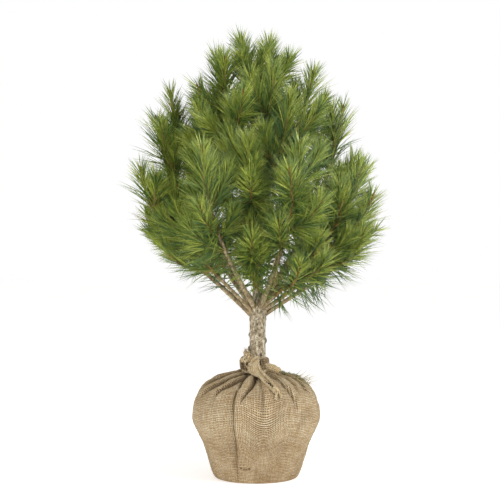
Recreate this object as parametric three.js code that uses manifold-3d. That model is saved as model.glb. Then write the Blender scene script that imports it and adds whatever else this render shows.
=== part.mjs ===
// A young pine, balled and burlapped: a soil ball wrapped in burlap and tied round the foot of the trunk,
// a short pale trunk that forks into a whorl of upswept boughs, and masses of long-needled shoots.
// Millimetres, +Z up. The origin is the middle of the root ball's flat underside; the front faces -Y.
import * as THREE from "three";
import { mergeVertices } from "three/addons/utils/BufferGeometryUtils.js";
import Module from "manifold-3d";

const wasm = await Module();
wasm.setup();

// ---- driving dimensions ----

const air = 0.4; // left between neighbouring pieces, which touch in the real plant
const finest = 0.06; // steps in a joined or cut surface smaller than this are smoothed away

// The wrapped ball. Its outline runs from the rim of the flat underside to the level patch on top that
// the trunk and the gathered neck stand on, as [radius, height].
const ball = {
  top: 268,
  outline: [
    [99, 0], [112, 9], [137, 82], [162, 140], [165, 172],
    [158, 205], [140, 233], [110, 256], [76, 265], [40, 268],
  ],
};

// Creases pressed into the wrap. azimuth: degrees from +X towards +Y; width: degrees; depth: mm;
// low: how far down the outline the crease still shows, as a share of the ball's height.
const frontCreases = [
  { azimuth: 192, width: 11, depth: 8, low: 0.8 },
  { azimuth: 228, width: 8, depth: 6, low: 0.8 },
  { azimuth: 249, width: 9, depth: 8, low: 0.02 },
  { azimuth: 262, width: 7, depth: 7, low: 0.76 },
  { azimuth: 277, width: 6, depth: 5, low: 0.66 },
  { azimuth: 291, width: 8, depth: 8, low: 0.8 },
  { azimuth: 312, width: 10, depth: 7, low: 0.74 },
  { azimuth: 338, width: 9, depth: 5, low: 0.8 },
];
const backCreases = { count: 7, from: 5, step: 26, width: 9, depth: 7, low: 0.62 };

const neck = {
  baseRadius: 43,
  tieRadius: 35,
  tieHeight: 275,
  bulgeRadius: 44,
  bulgeHeight: 293,
  rimRadius: 35,
  rimHeight: 304,
  ruffles: 9,
  ruffleDepth: 3.5,
  tuftAzimuth: 188, // the side where the cloth flares out and stands highest
  tuftRise: 17,
};
const roll = {
  azimuth: 334,
  start: 18,
  startHeight: 298,
  startRadius: 11.5,
  bend: 43,
  bendHeight: 297,
  end: 62,
  endHeight: 279,
  endRadius: 9.5,
};

const twine = { radius: 2.6, ringSides: 5, ringSteps: 20, loopSteps: 20 };

const trunk = {
  foot: ball.top + air,
  offset: 2, // the trunk, its neck and the crown stand this far to the right of the ball's middle
  start: 2, // and the trunk's foot as much again to the right of the neck's middle
  radius: 20.5,
  flare: 4.5, // the root flare adds this at the foot
  flareHeight: 32,
  whorl: 432, // where the boughs fork off
  aboveWhorl: 13.5,
  tip: 930,
  tipRadius: 5,
  crownTip: 1128, // the leader's own tip, carried on by the top mass
  lean: -42, // how far the leader's tip stands to the left of the foot
  leanPower: 4.5,
};

const shoot = {
  radius: 4, // at a growing tip
  sides: 4,
  ringStep: 20, // a stem's sides are marked off in stretches this long, each with room for a spray
  reach: 165, // of a side shoot, along its stem
  spread: 50, // degrees between a side shoot's foot and the stem
  clearance: 36, // between the tips of neighbouring shoots
};

const spray = {
  length: 108, // a spray of needles on old wood
  tipLength: 54, // and at a growing tip
  lengthens: 110, // the sprays reach their full length this far behind the tip
  crest: 38, // the spray that carries on a shoot's own line
  oldAngle: 84, // degrees off the stem, on old wood
  tipAngle: 22,
  young: 270, // the sprays rise more and more over this last part of a shoot
  lowest: 410, // no spray hangs below this height beside the trunk
  leftLift: 46, // the crown's underside is higher than that on the left
  underside: 0.42, // and rises this much for every millimetre outwards
  leftEdge: 215, // farther left than this it rises steeply
  leftRise: 1,
  droop: 0.14,
};

// The limbs, one to a row:
//   azimuth  the way the tip lies from the trunk, degrees from +X towards +Y
//   foot     height where it leaves the trunk
//   reach    how far out the stem's tip stands
//   top      height of the stem's tip
//   lift     degrees above level at the foot
//   upturn   degrees above level at the tip
//   bare     the share of the limb that is a bough of its own, before the foliage starts
//   girth    radius at the foot
//   shoots   side shoots wanted on the foliage stem
const limbRows = [
  ["right_crest", 25, 905, 36, 1124, 62, 84, 0, 5, 2],
  ["left", 190, 403, 302, 792, 46, 80, 0.3, 8.5, 5],
  ["front_left", 239, 424, 262, 832, 44, 84, 0.3, 8.5, 4],
  ["left_upper", 174, 440, 266, 930, 52, 80, 0.3, 7, 4],
  ["back_left", 151, 420, 266, 1010, 56, 82, 0.32, 8, 4],
  ["front_right", 295, 424, 240, 840, 47, 82, 0.3, 9.5, 5],
  ["right", 341, 436, 276, 802, 44, 78, 0.3, 8.5, 4],
  ["right_mid", 352, 420, 300, 726, 36, 66, 0.3, 7, 3],
  ["right_low", 4, 408, 310, 642, 34, 48, 0.26, 7, 3],
  ["front_right_low", 316, 426, 216, 618, 38, 60, 0.24, 6.5, 3],
  ["front_left_low", 216, 412, 246, 690, 44, 70, 0.32, 6.5, 3],
  ["right_upper", 28, 436, 264, 970, 52, 80, 0.3, 8, 5],
  ["back", 92, 432, 262, 890, 48, 82, 0.3, 8, 4],
  ["back_left_low", 124, 412, 285, 735, 42, 78, 0.28, 7.5, 4],
  ["back_right_low", 58, 414, 290, 745, 40, 78, 0.28, 7.5, 3],
  ["front_low", 264, 480, 150, 652, 30, 74, 0, 6, 3],
  ["back_low", 85, 505, 150, 700, 32, 74, 0, 6, 2],
  ["left_mid", 203, 640, 158, 944, 48, 82, 0, 6, 3],
  ["front_mid", 262, 615, 172, 856, 40, 82, 0, 6, 3],
  ["right_top", 17, 690, 154, 1052, 58, 80, 0, 6, 2],
  ["front_right_mid", 312, 675, 122, 976, 50, 80, 0, 6, 3],
  ["back_mid", 78, 655, 152, 985, 50, 80, 0, 6, 3],
  ["back_left_mid", 140, 700, 140, 1000, 52, 80, 0, 6, 2],
  ["left_top", 181, 838, 104, 1084, 52, 84, 0, 5, 3],
  ["front_top", 303, 842, 76, 1046, 50, 84, 0, 5, 2],
  ["front_left_top", 236, 790, 116, 950, 46, 80, 0, 5, 2],
  ["back_top", 96, 850, 92, 1050, 52, 82, 0, 5, 2],
];
const limbs = limbRows.map(([name, azimuth, foot, reach, top, lift, upturn, bare, girth, shoots]) => (
  { name, azimuth, foot, reach, top, lift, upturn, bare, girth, shoots }
));
const leader = { name: "leader", foot: trunk.tip, bare: 0, shoots: 4 };
limbs.unshift(leader); // it carries the trunk's own line on to the top

// How far out a shoot's tip may stand, by height, as (distance, height).
const crownEdge = [
  new THREE.Vector2(150, 470),
  new THREE.Vector2(258, 560),
  new THREE.Vector2(300, 650),
  new THREE.Vector2(292, 780),
  new THREE.Vector2(268, 880),
  new THREE.Vector2(240, 960),
  new THREE.Vector2(165, 1020),
  new THREE.Vector2(105, 1085),
  new THREE.Vector2(45, 1135),
];

// ---- colours and finishes ----

const burlap = new THREE.MeshStandardMaterial({ color: 0xb59a72, roughness: 0.95, metalness: 0 });
const jute = new THREE.MeshStandardMaterial({ color: 0xb3905c, roughness: 0.95, metalness: 0 });
const trunkBark = new THREE.MeshStandardMaterial({ color: 0xa39580, roughness: 0.9, metalness: 0 });
const boughBark = new THREE.MeshStandardMaterial({ color: 0x8f7456, roughness: 0.85, metalness: 0 });
const needleGreen = new THREE.MeshStandardMaterial({ color: 0x5d7a34, roughness: 0.6, metalness: 0 });

// ---- small tools ----

const up = new THREE.Vector3(0, 0, 1);
const radians = THREE.MathUtils.degToRad;
const lerp = THREE.MathUtils.lerp;
const smooth = THREE.MathUtils.smoothstep;

// A repeatable number from 0 to 1 for any two whole numbers.
function chance(a, b) {
  const wave = Math.sin(a * 12.9898 + b * 78.233) * 43758.5453;
  return wave - Math.floor(wave);
}

// The direction at an azimuth and an elevation, both in degrees.
function towards(azimuth, elevation) {
  const level = Math.cos(radians(elevation));
  return new THREE.Vector3(
    level * Math.cos(radians(azimuth)),
    level * Math.sin(radians(azimuth)),
    Math.sin(radians(elevation)),
  );
}

function solidOf(geometry) {
  const bare = geometry.index ? geometry : geometry.clone();
  bare.deleteAttribute("normal");
  bare.deleteAttribute("uv");
  const merged = mergeVertices(bare, 1e-3);
  return new wasm.Manifold(
    new wasm.Mesh({
      numProp: 3,
      vertProperties: new Float32Array(merged.attributes.position.array),
      triVerts: new Uint32Array(merged.index.array),
    }),
  );
}

function geometryOf(solid) {
  const { numProp, vertProperties, triVerts } = solid.simplify(finest).getMesh();
  const geometry = new THREE.BufferGeometry();
  geometry.setAttribute("position", new THREE.BufferAttribute(vertProperties, numProp));
  geometry.setIndex(new THREE.BufferAttribute(triVerts, 1));
  return geometry;
}

function named(name, geometry, material) {
  const shown = geometry.index ? geometry.toNonIndexed() : geometry;
  shown.computeVertexNormals();
  const mesh = new THREE.Mesh(shown, material);
  mesh.name = name;
  return mesh;
}

// The place at a share of a curve, with the directions along it and across it.
const framesOf = new Map();
function frameAt(curve, share) {
  if (!framesOf.has(curve)) framesOf.set(curve, curve.computeFrenetFrames(60));
  const along = curve.getTangentAt(share);
  const normal = framesOf.get(curve).normals[Math.round(share * 60)].clone();
  normal.addScaledVector(along, -along.dot(normal)).normalize();
  const binormal = new THREE.Vector3().crossVectors(along, normal);
  return { place: curve.getPointAt(share), along, normal, binormal };
}

// A direction square to a curve, turned by some degrees round it.
function acrossAt({ normal, binormal }, turn) {
  const part = normal.clone().multiplyScalar(Math.cos(radians(turn)));
  return part.addScaledVector(binormal, Math.sin(radians(turn)));
}

// A cylinder bent along a stretch of a curve, with its own radius at every share of the curve.
function limbGeometry(curve, from, to, radiusAt, sides, steps) {
  const geometry = new THREE.CylinderGeometry(1, 1, 1, sides, steps);
  const places = geometry.attributes.position;
  for (let i = 0; i < places.count; i++) {
    const share = lerp(from, to, places.getY(i) + 0.5);
    const frame = frameAt(curve, share);
    const turn = THREE.MathUtils.radToDeg(Math.atan2(places.getX(i), places.getZ(i)));
    const out = radiusAt(share) * Math.hypot(places.getX(i), places.getZ(i));
    const place = frame.place.addScaledVector(acrossAt(frame, turn), out);
    places.setXYZ(i, place.x, place.y, place.z);
  }
  return geometry;
}

// ---- the root ball ----

const ballSide = new THREE.SplineCurve(ball.outline.map(([radius, height]) => new THREE.Vector2(radius, height)));

function allCreases() {
  const back = Array.from({ length: backCreases.count }, (_, k) => ({
    azimuth: backCreases.from + backCreases.step * k + 8 * chance(k, 3),
    width: backCreases.width,
    depth: backCreases.depth * (0.6 + 0.6 * chance(k, 4)),
    low: k % 3 === 1 ? 0.1 : backCreases.low + 0.2 * chance(k, 5),
  }));
  return [...frontCreases, ...back];
}
const creases = allCreases();

// How deep the wrap is pressed in at an azimuth in degrees and a height.
function creaseDepth(azimuth, height) {
  const level = height / ball.top;
  let depth = 0;
  for (const crease of creases) {
    let off = Math.abs(((azimuth - crease.azimuth + 540) % 360) - 180) / crease.width;
    const fan = lerp(0.8, 1.35, smooth(level, 0.8, 1)); // creases open towards the tie
    off /= fan;
    if (off < 1) depth += crease.depth * (1 - off) ** 2 * smooth(level, crease.low - 0.06, crease.low + 0.16);
  }
  return depth;
}

function rootBall() {
  const around = 56;
  const upwards = 12;
  const outline = ballSide.getSpacedPoints(upwards);
  const profile = [new THREE.Vector2(0, 0), ...outline, new THREE.Vector2(0, ball.top)];
  const geometry = new THREE.LatheGeometry(profile, around);
  const places = geometry.attributes.position;
  for (let i = 0; i < places.count; i++) {
    const along = i % profile.length;
    const [x, height, z] = [places.getX(i), places.getY(i), places.getZ(i)];
    const azimuth = (THREE.MathUtils.radToDeg(Math.atan2(-z, x)) + 360) % 360;
    const share = (along - 1) / upwards;
    const inside = along > 1 && along < profile.length - 2;
    const slope = ballSide.getTangentAt(THREE.MathUtils.clamp(share, 0, 1));
    const depth = inside ? creaseDepth(azimuth, height) : 0;
    const radius = Math.hypot(x, z) - depth * slope.y;
    const place = towards(azimuth, 0).multiplyScalar(radius);
    places.setXYZ(i, place.x, place.y, height + depth * slope.x);
  }
  return geometry;
}

// ---- the gathered neck and its twine ----

// How near an azimuth is to a middle one: 1 on it, falling smoothly to 0 at `width` degrees away.
function near(azimuth, middle, width) {
  const off = Math.abs(((azimuth - middle + 540) % 360) - 180) / width;
  return off < 1 ? (1 - off * off) ** 2 : 0;
}

function neckCollar() {
  const foot = ball.top + air;
  const profile = [
    new THREE.Vector2(0, foot),
    new THREE.Vector2(neck.baseRadius, foot),
    new THREE.Vector2(neck.tieRadius, neck.tieHeight - 5),
    new THREE.Vector2(neck.tieRadius, neck.tieHeight + 4),
    new THREE.Vector2(neck.bulgeRadius, neck.bulgeHeight),
    new THREE.Vector2(neck.rimRadius, neck.rimHeight),
    new THREE.Vector2(neck.rimRadius - 7, neck.rimHeight - 7),
    new THREE.Vector2(0, neck.rimHeight - 7),
  ];
  const geometry = new THREE.LatheGeometry(profile, 24);
  const places = geometry.attributes.position;
  for (let i = 0; i < places.count; i++) {
    const [x, height, z] = [places.getX(i), places.getY(i), places.getZ(i)];
    const azimuth = (THREE.MathUtils.radToDeg(Math.atan2(-z, x)) + 360) % 360;
    const above = smooth(height, neck.tieHeight + 4, neck.bulgeHeight);
    const tuft = near(azimuth, neck.tuftAzimuth, 75) * above;
    const wave = neck.ruffleDepth * Math.cos(neck.ruffles * radians(azimuth)) * above;
    const out = Math.hypot(x, z);
    const radius = out < 1 ? 0 : out + (out > 30 ? wave : 0) + 3 * tuft;
    const high = smooth(height, neck.bulgeHeight - 6, neck.rimHeight - 8);
    const rise = out < 1 ? 0 : (neck.tuftRise * tuft + 0.8 * wave) * high;
    const place = towards(azimuth, 0).multiplyScalar(radius);
    places.setXYZ(i, place.x, place.y, height + rise);
  }
  return geometry;
}

// The end of the wrap, rolled over beside the trunk.
function neckRoll() {
  const at = (out, height) => towards(roll.azimuth, 0).multiplyScalar(out).setZ(height);
  const curve = new THREE.QuadraticBezierCurve3(
    at(roll.start, roll.startHeight),
    at(roll.bend, roll.bendHeight),
    at(roll.end, roll.endHeight),
  );
  const rounded = (share) => Math.sqrt(1 - 0.75 * smooth(share, 0.7, 1) ** 2);
  const radiusAt = (share) => lerp(roll.startRadius, roll.endRadius, share) * rounded(share);
  return limbGeometry(curve, 0, 1, radiusAt, 9, 6);
}

// The way through the neck for the foot of the trunk.
function neckBore() {
  const height = neck.rimHeight - ball.top + 10;
  const bore = new THREE.CylinderGeometry(trunk.radius + 3, trunk.radius + trunk.flare + 1.5, height, 18);
  return bore.rotateX(Math.PI / 2).translate(trunk.start, 0, ball.top - 2 + height / 2);
}

// A place just off the ball's surface, by azimuth and by share of its outline.
function onBall(azimuth, share, off) {
  const outline = ballSide.getPointAt(share);
  const slope = ballSide.getTangentAt(share);
  return towards(azimuth, 0)
    .multiplyScalar(outline.x + off * slope.y)
    .setZ(outline.y - off * slope.x);
}

function twineTie() {
  const ringRadius = neck.tieRadius + air + twine.radius + 0.6;
  const ring = new THREE.TorusGeometry(ringRadius, twine.radius, twine.ringSides, twine.ringSteps);
  ring.translate(0, 0, neck.tieHeight);
  const atRing = (azimuth, out, drop) =>
    towards(azimuth, 0).multiplyScalar(ringRadius * out).setZ(neck.tieHeight - drop);
  const loop = new THREE.CatmullRomCurve3([
    atRing(247, 1, 0),
    atRing(249, 1.2, 3),
    onBall(258, 0.88, 5),
    onBall(275, 0.79, 5),
    onBall(286, 0.69, 5),
    onBall(292, 0.665, 5),
    onBall(290, 0.71, 5),
    onBall(284, 0.79, 5),
    onBall(277, 0.88, 5),
    atRing(273, 1.2, 3),
    atRing(271, 1, 0),
  ]);
  const strand = limbGeometry(loop, 0, 1, () => twine.radius * 0.9, 5, twine.loopSteps);
  return wasm.Manifold.union([solidOf(ring), solidOf(strand)]);
}

// ---- the trunk and the limbs ----

// The line the trunk follows, leaning more the higher it goes.
const trunkCurve = new THREE.CatmullRomCurve3(
  Array.from({ length: 15 }, (_, k) => {
    const share = k / 14;
    const height = lerp(trunk.foot, trunk.crownTip, share);
    return new THREE.Vector3(trunk.start + (trunk.lean - trunk.start) * share ** trunk.leanPower, 0, height);
  }),
);
const trunkLength = trunk.crownTip - trunk.foot;

// The share of the trunk's line that lies at a height; the line is so upright that heights serve as lengths.
function trunkShare(height) {
  let [low, high] = [0, 1];
  for (let k = 0; k < 24; k++) {
    const middle = (low + high) / 2;
    if (trunkCurve.getPointAt(middle).z < height) low = middle;
    else high = middle;
  }
  return (low + high) / 2;
}
const trunkEnd = trunkShare(trunk.tip);

function trunkRadius(share) {
  const height = trunk.foot + share * trunkLength;
  const flare = trunk.flare * (1 - smooth(height, trunk.foot, trunk.foot + trunk.flareHeight));
  const stout = trunk.radius + flare + 2 * near(height, trunk.whorl - 8, 40);
  const above = lerp(trunk.aboveWhorl, trunk.tipRadius, smooth(height, trunk.whorl, trunk.tip + 260) * 1.35);
  return lerp(stout, Math.max(above, trunk.tipRadius), smooth(height, trunk.whorl - 4, trunk.whorl + 34));
}

// Every limb's line, from the trunk's middle to its own tip.
function limbCurve(limb) {
  if (limb === leader) return trunkCurve;
  const start = trunkCurve.getPointAt(trunkShare(limb.foot));
  const end = towards(limb.azimuth, 0).multiplyScalar(limb.reach).setZ(limb.top);
  const handle = 0.38 * start.distanceTo(end);
  return new THREE.CubicBezierCurve3(
    start,
    start.clone().addScaledVector(towards(limb.azimuth, limb.lift), handle),
    end.clone().addScaledVector(towards(limb.azimuth, limb.upturn), -handle),
    end,
  );
}

function limbRadius(limb) {
  const leaderShare = (share) => (share - trunkEnd) / (1 - trunkEnd);
  if (limb === leader) return (share) => lerp(trunk.tipRadius, shoot.radius, leaderShare(share));
  const swell = (share) => 1.5 * (1 - smooth(share, 0, 0.12));
  return (share) => lerp(limb.girth, shoot.radius, Math.min(1, share * 1.15) ** 0.8) + swell(share);
}

// ---- the foliage ----

// Everything that already stands in the crown, as short stretches: ends a and b with a radius at each.
// Those of the foliage also keep the exact hull of their stretch.
const standing = [];

function standLimb(curve, from, to, radiusAt, owner) {
  const count = Math.max(1, Math.round((curve.getLength() * (to - from)) / 30));
  for (let k = 0; k < count; k++) {
    const [low, high] = [lerp(from, to, k / count), lerp(from, to, (k + 1) / count)];
    const [a, b] = [curve.getPointAt(low), curve.getPointAt(high)];
    standing.push({ a, b, ra: radiusAt(low), rb: radiusAt(high), owner, line: owner });
  }
}

const hullOf = (points) => wasm.Manifold.hull(points.map((point) => point.toArray()));

// The least gap between two tapering stretches, taken where their middle lines come closest.
function roughGap(p, q) {
  const d1 = p.b.clone().sub(p.a);
  const d2 = q.b.clone().sub(q.a);
  const r = p.a.clone().sub(q.a);
  const [a, e, f, b, c] = [d1.dot(d1), d2.dot(d2), d2.dot(r), d1.dot(d2), d1.dot(r)];
  const clamp = (v) => THREE.MathUtils.clamp(v, 0, 1);
  const spread = a * e - b * b;
  let s = spread > 1e-9 ? clamp((b * f - c * e) / spread) : 0;
  let t = (b * s + f) / e;
  if (t < 0 || t > 1) {
    t = clamp(t);
    s = clamp((b * t - c) / a);
  }
  const apart = p.a.clone().addScaledVector(d1, s).distanceTo(q.a.clone().addScaledVector(d2, t));
  return apart - Math.max(p.ra, p.rb * 0.5) * (1 - s) - p.rb * s - q.ra * (1 - t) - q.rb * t;
}

// Whether a new stretch is clear of everything that stands, touching only its own line.
function isClear(piece, room) {
  const reach = piece.a.distanceTo(piece.b);
  return standing.every((other) => {
    if (other.a.distanceTo(piece.a) > reach + 30 + other.a.distanceTo(other.b)) return true;
    if (roughGap(piece, other) > room) return true;
    if (!other.hull || !piece.hull) return false;
    if (other.line === piece.line && !other.spray && Math.abs(other.ring - piece.ring) < 2) return true;
    if (other.line === piece.line) return piece.hull.intersect(other.hull).volume() < 1e-4;
    return piece.hull.minGap(other.hull, room + 1) > room;
  });
}

// Whether a point is nearer to the stems of its own mass than to anyone else's.
function inOwnSpace(point, owner, favour) {
  let [own, foreign] = [Infinity, Infinity];
  for (const other of standing) {
    if (other.spray) continue;
    const distance = Math.min(other.a.distanceTo(point), other.b.distanceTo(point));
    if (other.owner === owner) own = Math.min(own, distance);
    else foreign = Math.min(foreign, distance);
  }
  return own < foreign * favour + 12;
}

// How far out the crown may reach at a height.
function edgeAt(height) {
  const above = Math.max(1, crownEdge.findIndex((point) => point.y > height));
  const [low, high] = [crownEdge[above - 1], crownEdge[above]];
  return lerp(low.x, high.x, THREE.MathUtils.clamp((height - low.y) / (high.y - low.y), 0, 1));
}

// The lowest that a spray's tip may hang at a place.
function lowestAt({ x, y }) {
  const outwards = Math.max(0, Math.hypot(x, y) - 110);
  const steep = spray.leftRise * Math.max(0, -x - spray.leftEdge);
  return spray.lowest + spray.leftLift * smooth(-x, -20, 60) + spray.underside * outwards + steep;
}

// The rings of corners that a foliage stem is built on.
function addRings(grown) {
  const { curve, from, to, radiusAt, owner, line } = grown;
  const count = Math.max(2, Math.round((curve.getLength() * (to - from)) / shoot.ringStep));
  grown.rings = Array.from({ length: count + 1 }, (_, k) => {
    const share = lerp(from, to, k / count);
    const frame = frameAt(curve, share);
    return Array.from({ length: shoot.sides }, (_, j) =>
      frame.place.clone().addScaledVector(acrossAt(frame, (360 / shoot.sides) * j), radiusAt(share)),
    );
  });
  grown.sprays = new Map();
  for (let k = grown.parent ? 1 : 0; k < count; k++) {
    const [a, b] = [k, k + 1].map((ring) => curve.getPointAt(lerp(from, to, ring / count)));
    const hull = hullOf([...grown.rings[k], ...grown.rings[k + 1]]);
    standing.push({ a, b, ra: radiusAt(from), rb: radiusAt(to), owner, line, hull, ring: k });
  }
}

// A line that leaves `curve` sideways and turns upwards.
function sideCurve(curve, share, turn, length) {
  const frame = frameAt(curve, share);
  const out = frame.along.clone().multiplyScalar(Math.cos(radians(shoot.spread)));
  out.addScaledVector(acrossAt(frame, turn), Math.sin(radians(shoot.spread)));
  const middle = frame.place.clone().addScaledVector(out, length * 0.55);
  const tip = middle.clone().addScaledVector(out.clone().lerp(up, 0.62).normalize(), length * 0.5);
  return new THREE.QuadraticBezierCurve3(frame.place, middle, tip);
}

// Side shoots for one stem, each in a place of its own.
function growShoots(mass) {
  const { limb, stem } = mass;
  for (let k = 0; k < limb.shoots; k++) {
    const even = lerp(Math.max(stem.from + 0.1, 0.34), 0.84, (k + 0.5) / limb.shoots);
    const share = even + 0.05 * (chance(mass.seed, k) - 0.5);
    const length = shoot.reach * (1.12 - 0.62 * share) * (0.85 + 0.3 * chance(mass.seed, k + 20));
    for (let attempt = 0; attempt < 14; attempt++) {
      const turn = 137.5 * (k + attempt * 0.37) + 360 * chance(mass.seed, 40);
      const curve = sideCurve(stem.curve, share, turn, length * (1 - 0.03 * attempt));
      const tip = curve.getPointAt(1);
      if (Math.hypot(tip.x, tip.y) > edgeAt(tip.z) || tip.z > trunk.crownTip) continue;
      if (curve.getPointAt(0.55).z < trunk.whorl + 40 || !inOwnSpace(tip, mass.name, 0.95)) continue;
      const crowds = (other) => other.line !== stem.line && other.b.distanceTo(tip) < shoot.clearance;
      if (standing.some(crowds)) continue;
      const line = `${stem.line}/${k}`;
      const room = shoot.radius + 6;
      if (!isClear({ a: curve.getPointAt(0.3), b: tip, ra: room, rb: room, line }, 6)) continue;
      const radiusAt = (s) => shoot.radius * lerp(0.62, 1.1, smooth(s, 0, 0.1)) * lerp(1, 0.8, s);
      const grown = { curve, from: 0, to: 1, radiusAt, line, owner: mass.name, parent: stem };
      addRings(grown);
      mass.lines.push(grown);
      break;
    }
  }
}

// Where sprays could stand on a line: stretches from the tip down, thick with sprays at the growing end.
function sprayPlaces(grown) {
  const count = grown.rings.length - 1;
  const step = (grown.curve.getLength() * (grown.to - grown.from)) / count;
  const places = [{ crest: true, behind: 0, ring: count }];
  for (let ring = count - 1; ring >= 1; ring--) {
    const behind = (count - ring - 0.5) * step;
    const many = behind < step ? 4 : behind < 60 ? 3 : behind < 170 ? 2 : 2 - (ring % 2);
    for (let k = 0; k < many; k++) {
      const side = Math.round((137.5 * ring) / 90 + (4 * k) / many) % 4;
      places.push({ ring, behind, side, half: (ring + k) % 2 });
    }
  }
  return places;
}

// One spray of needles, a long spike that grows out of one half of a four-cornered stretch of the stem.
function sprayPiece(grown, place, seed, shorter, twist) {
  const { curve, rings, line, owner } = grown;
  const count = rings.length - 1;
  const youth = 1 - smooth(place.behind, 0, spray.young);
  const frame = frameAt(curve, lerp(grown.from, grown.to, Math.min(1, (place.ring + 0.5) / count)));
  if (place.crest) {
    const foot = curve.getPointAt(grown.to);
    const tip = foot.clone().addScaledVector(frame.along, spray.crest * shorter);
    const hull = hullOf([...rings[count], tip]);
    return { a: foot, b: tip, ra: shoot.radius, rb: 0.3, line, owner, spray: true, hull, ring: count };
  }
  const next = (place.side + 1) % 4;
  const [low, high] = [rings[place.ring], rings[place.ring + 1]];
  const base = [low[place.side], ...(place.half ? [high[next], high[place.side]] : [low[next], high[next]])];
  const middle = base[0].clone().add(base[1]).add(base[2]).divideScalar(3);
  const angle = lerp(spray.oldAngle, spray.tipAngle, youth ** 0.6);
  const across = acrossAt(frame, 90 * place.side + 45 + twist + 24 * (chance(seed, 8) - 0.5));
  const aim = frame.along.clone().multiplyScalar(Math.cos(radians(angle)));
  aim.addScaledVector(across, Math.sin(radians(angle)));
  aim.z += spray.droop * (youth - 0.75);
  aim.normalize();
  const face = new THREE.Triangle(...base).getNormal(new THREE.Vector3());
  if (aim.dot(face) < 0.2) return null;
  const grownUp = smooth(place.behind, 0, spray.lengthens);
  const length = lerp(spray.tipLength, spray.length, grownUp) * (0.84 + 0.26 * chance(seed, 9)) * shorter;
  const tip = middle.clone().addScaledVector(aim, length);
  const root = Math.max(...base.map((corner) => corner.distanceTo(middle)));
  const hull = hullOf([...base, tip]);
  return { a: middle, b: tip, ra: root, rb: 0.3, line, owner, spray: true, hull, ring: place.ring };
}

// A stem with its sprays, as one skin: each spray stands on the three edges of its half stretch.
function foliageLine(grown) {
  const corners = [];
  const fan = (base, tip) => {
    if (!tip) corners.push(...base);
    else base.forEach((corner, k) => corners.push(corner, base[(k + 1) % base.length], tip));
  };
  const { rings, sprays } = grown;
  const last = rings.length - 1;
  for (let ring = 0; ring < last; ring++) {
    for (let side = 0; side < 4; side++) {
      const next = (side + 1) % 4;
      const [low, high] = [rings[ring], rings[ring + 1]];
      fan([low[side], low[next], high[next]], sprays.get(`${ring}/${side}/0`));
      fan([low[side], high[next], high[side]], sprays.get(`${ring}/${side}/1`));
    }
  }
  const [foot, end] = [rings[0], rings[last]];
  fan([foot[0], foot[2], foot[1]]);
  fan([foot[0], foot[3], foot[2]]);
  if (sprays.has("crest")) fan(end, sprays.get("crest"));
  else [[0, 1, 2], [0, 2, 3]].forEach((half) => fan(half.map((k) => end[k])));
  const geometry = new THREE.BufferGeometry().setFromPoints(corners);
  return solidOf(geometry);
}

// ---- the whole plant ----

const plant = new THREE.Group();
plant.add(named("root_ball", geometryOf(solidOf(rootBall())), burlap));
const tree = new THREE.Group();
tree.position.x = trunk.offset;
plant.add(tree);

const widerTrunk = solidOf(limbGeometry(trunkCurve, 0, trunkEnd, (s) => trunkRadius(s) + 1.5 * air, 12, 14));
const collar = solidOf(neckCollar()).add(solidOf(neckRoll())).subtract(solidOf(neckBore()));
tree.add(named("burlap_neck", geometryOf(collar), burlap));
tree.add(named("twine", geometryOf(twineTie()), jute));
tree.add(named("trunk", limbGeometry(trunkCurve, 0, trunkEnd, trunkRadius, 12, 14), trunkBark));
standLimb(trunkCurve, 0, trunkEnd, trunkRadius, "trunk");

function largest(solid) {
  return solid.decompose().sort((a, b) => b.volume() - a.volume())[0];
}

// The boughs, each cut clear of the trunk and of the boughs made before it.
const masses = [];
let taken = widerTrunk;
for (const [index, limb] of limbs.entries()) {
  const curve = limbCurve(limb);
  const radiusAt = limbRadius(limb);
  if (limb.bare > 0) {
    const bough = solidOf(limbGeometry(curve, 0, limb.bare, radiusAt, 6, 4));
    tree.add(named(`bough_${limb.name}`, geometryOf(largest(bough.subtract(taken))), boughBark));
    taken = taken.add(solidOf(limbGeometry(curve, 0, limb.bare, (s) => radiusAt(s) + air, 6, 4)));
    standLimb(curve, 0, limb.bare, radiusAt, `bough_${limb.name}`);
  }
  const bareEnd = limb === leader ? trunkEnd : limb.bare;
  const from = bareEnd && bareEnd + air / curve.getLength();
  const name = `foliage_${limb.name}`;
  const stem = { curve, from, to: 1, radiusAt, line: `stem_${limb.name}`, owner: name };
  addRings(stem);
  masses.push({ name, limb, stem, seed: index * 17 + 5, lines: [stem] });
}

for (const mass of masses) growShoots(mass);

// The masses take their sprays in turn, so that neighbours share the space between them evenly.
const waiting = masses.map((mass) => ({
  mass,
  wanted: mass.lines.flatMap((grown) => sprayPlaces(grown).map((place) => ({ grown, place }))),
}));
for (let round = 0; waiting.some((one) => round < one.wanted.length); round++) {
  for (const { mass, wanted } of waiting) {
    if (round >= wanted.length) continue;
    const { grown, place } = wanted[round];
    const seed = mass.seed * 31 + round;
    for (const [shorter, twist] of [[1, 0], [1, 24], [0.85, -24], [0.7, 12], [0.55, -12]]) {
      const piece = sprayPiece(grown, place, seed, shorter, twist);
      if (!piece || piece.b.z < lowestAt(piece.b)) continue;
      if (!inOwnSpace(piece.b, mass.name, 1.3) || !isClear(piece, 0.5)) continue;
      standing.push(piece);
      grown.sprays.set(place.crest ? "crest" : `${place.ring}/${place.side}/${place.half}`, piece.b);
      break;
    }
  }
}

for (const mass of masses) {
  const fused = wasm.Manifold.union(mass.lines.map(foliageLine));
  const solid = (mass.stem.from > 0 ? fused : largest(fused.subtract(widerTrunk)));
  tree.add(named(mass.name, geometryOf(solid), needleGreen));
}

export default plant;
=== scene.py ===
import math
from functools import partial

import bpy
import numpy as np
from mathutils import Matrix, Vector, noise


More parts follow.
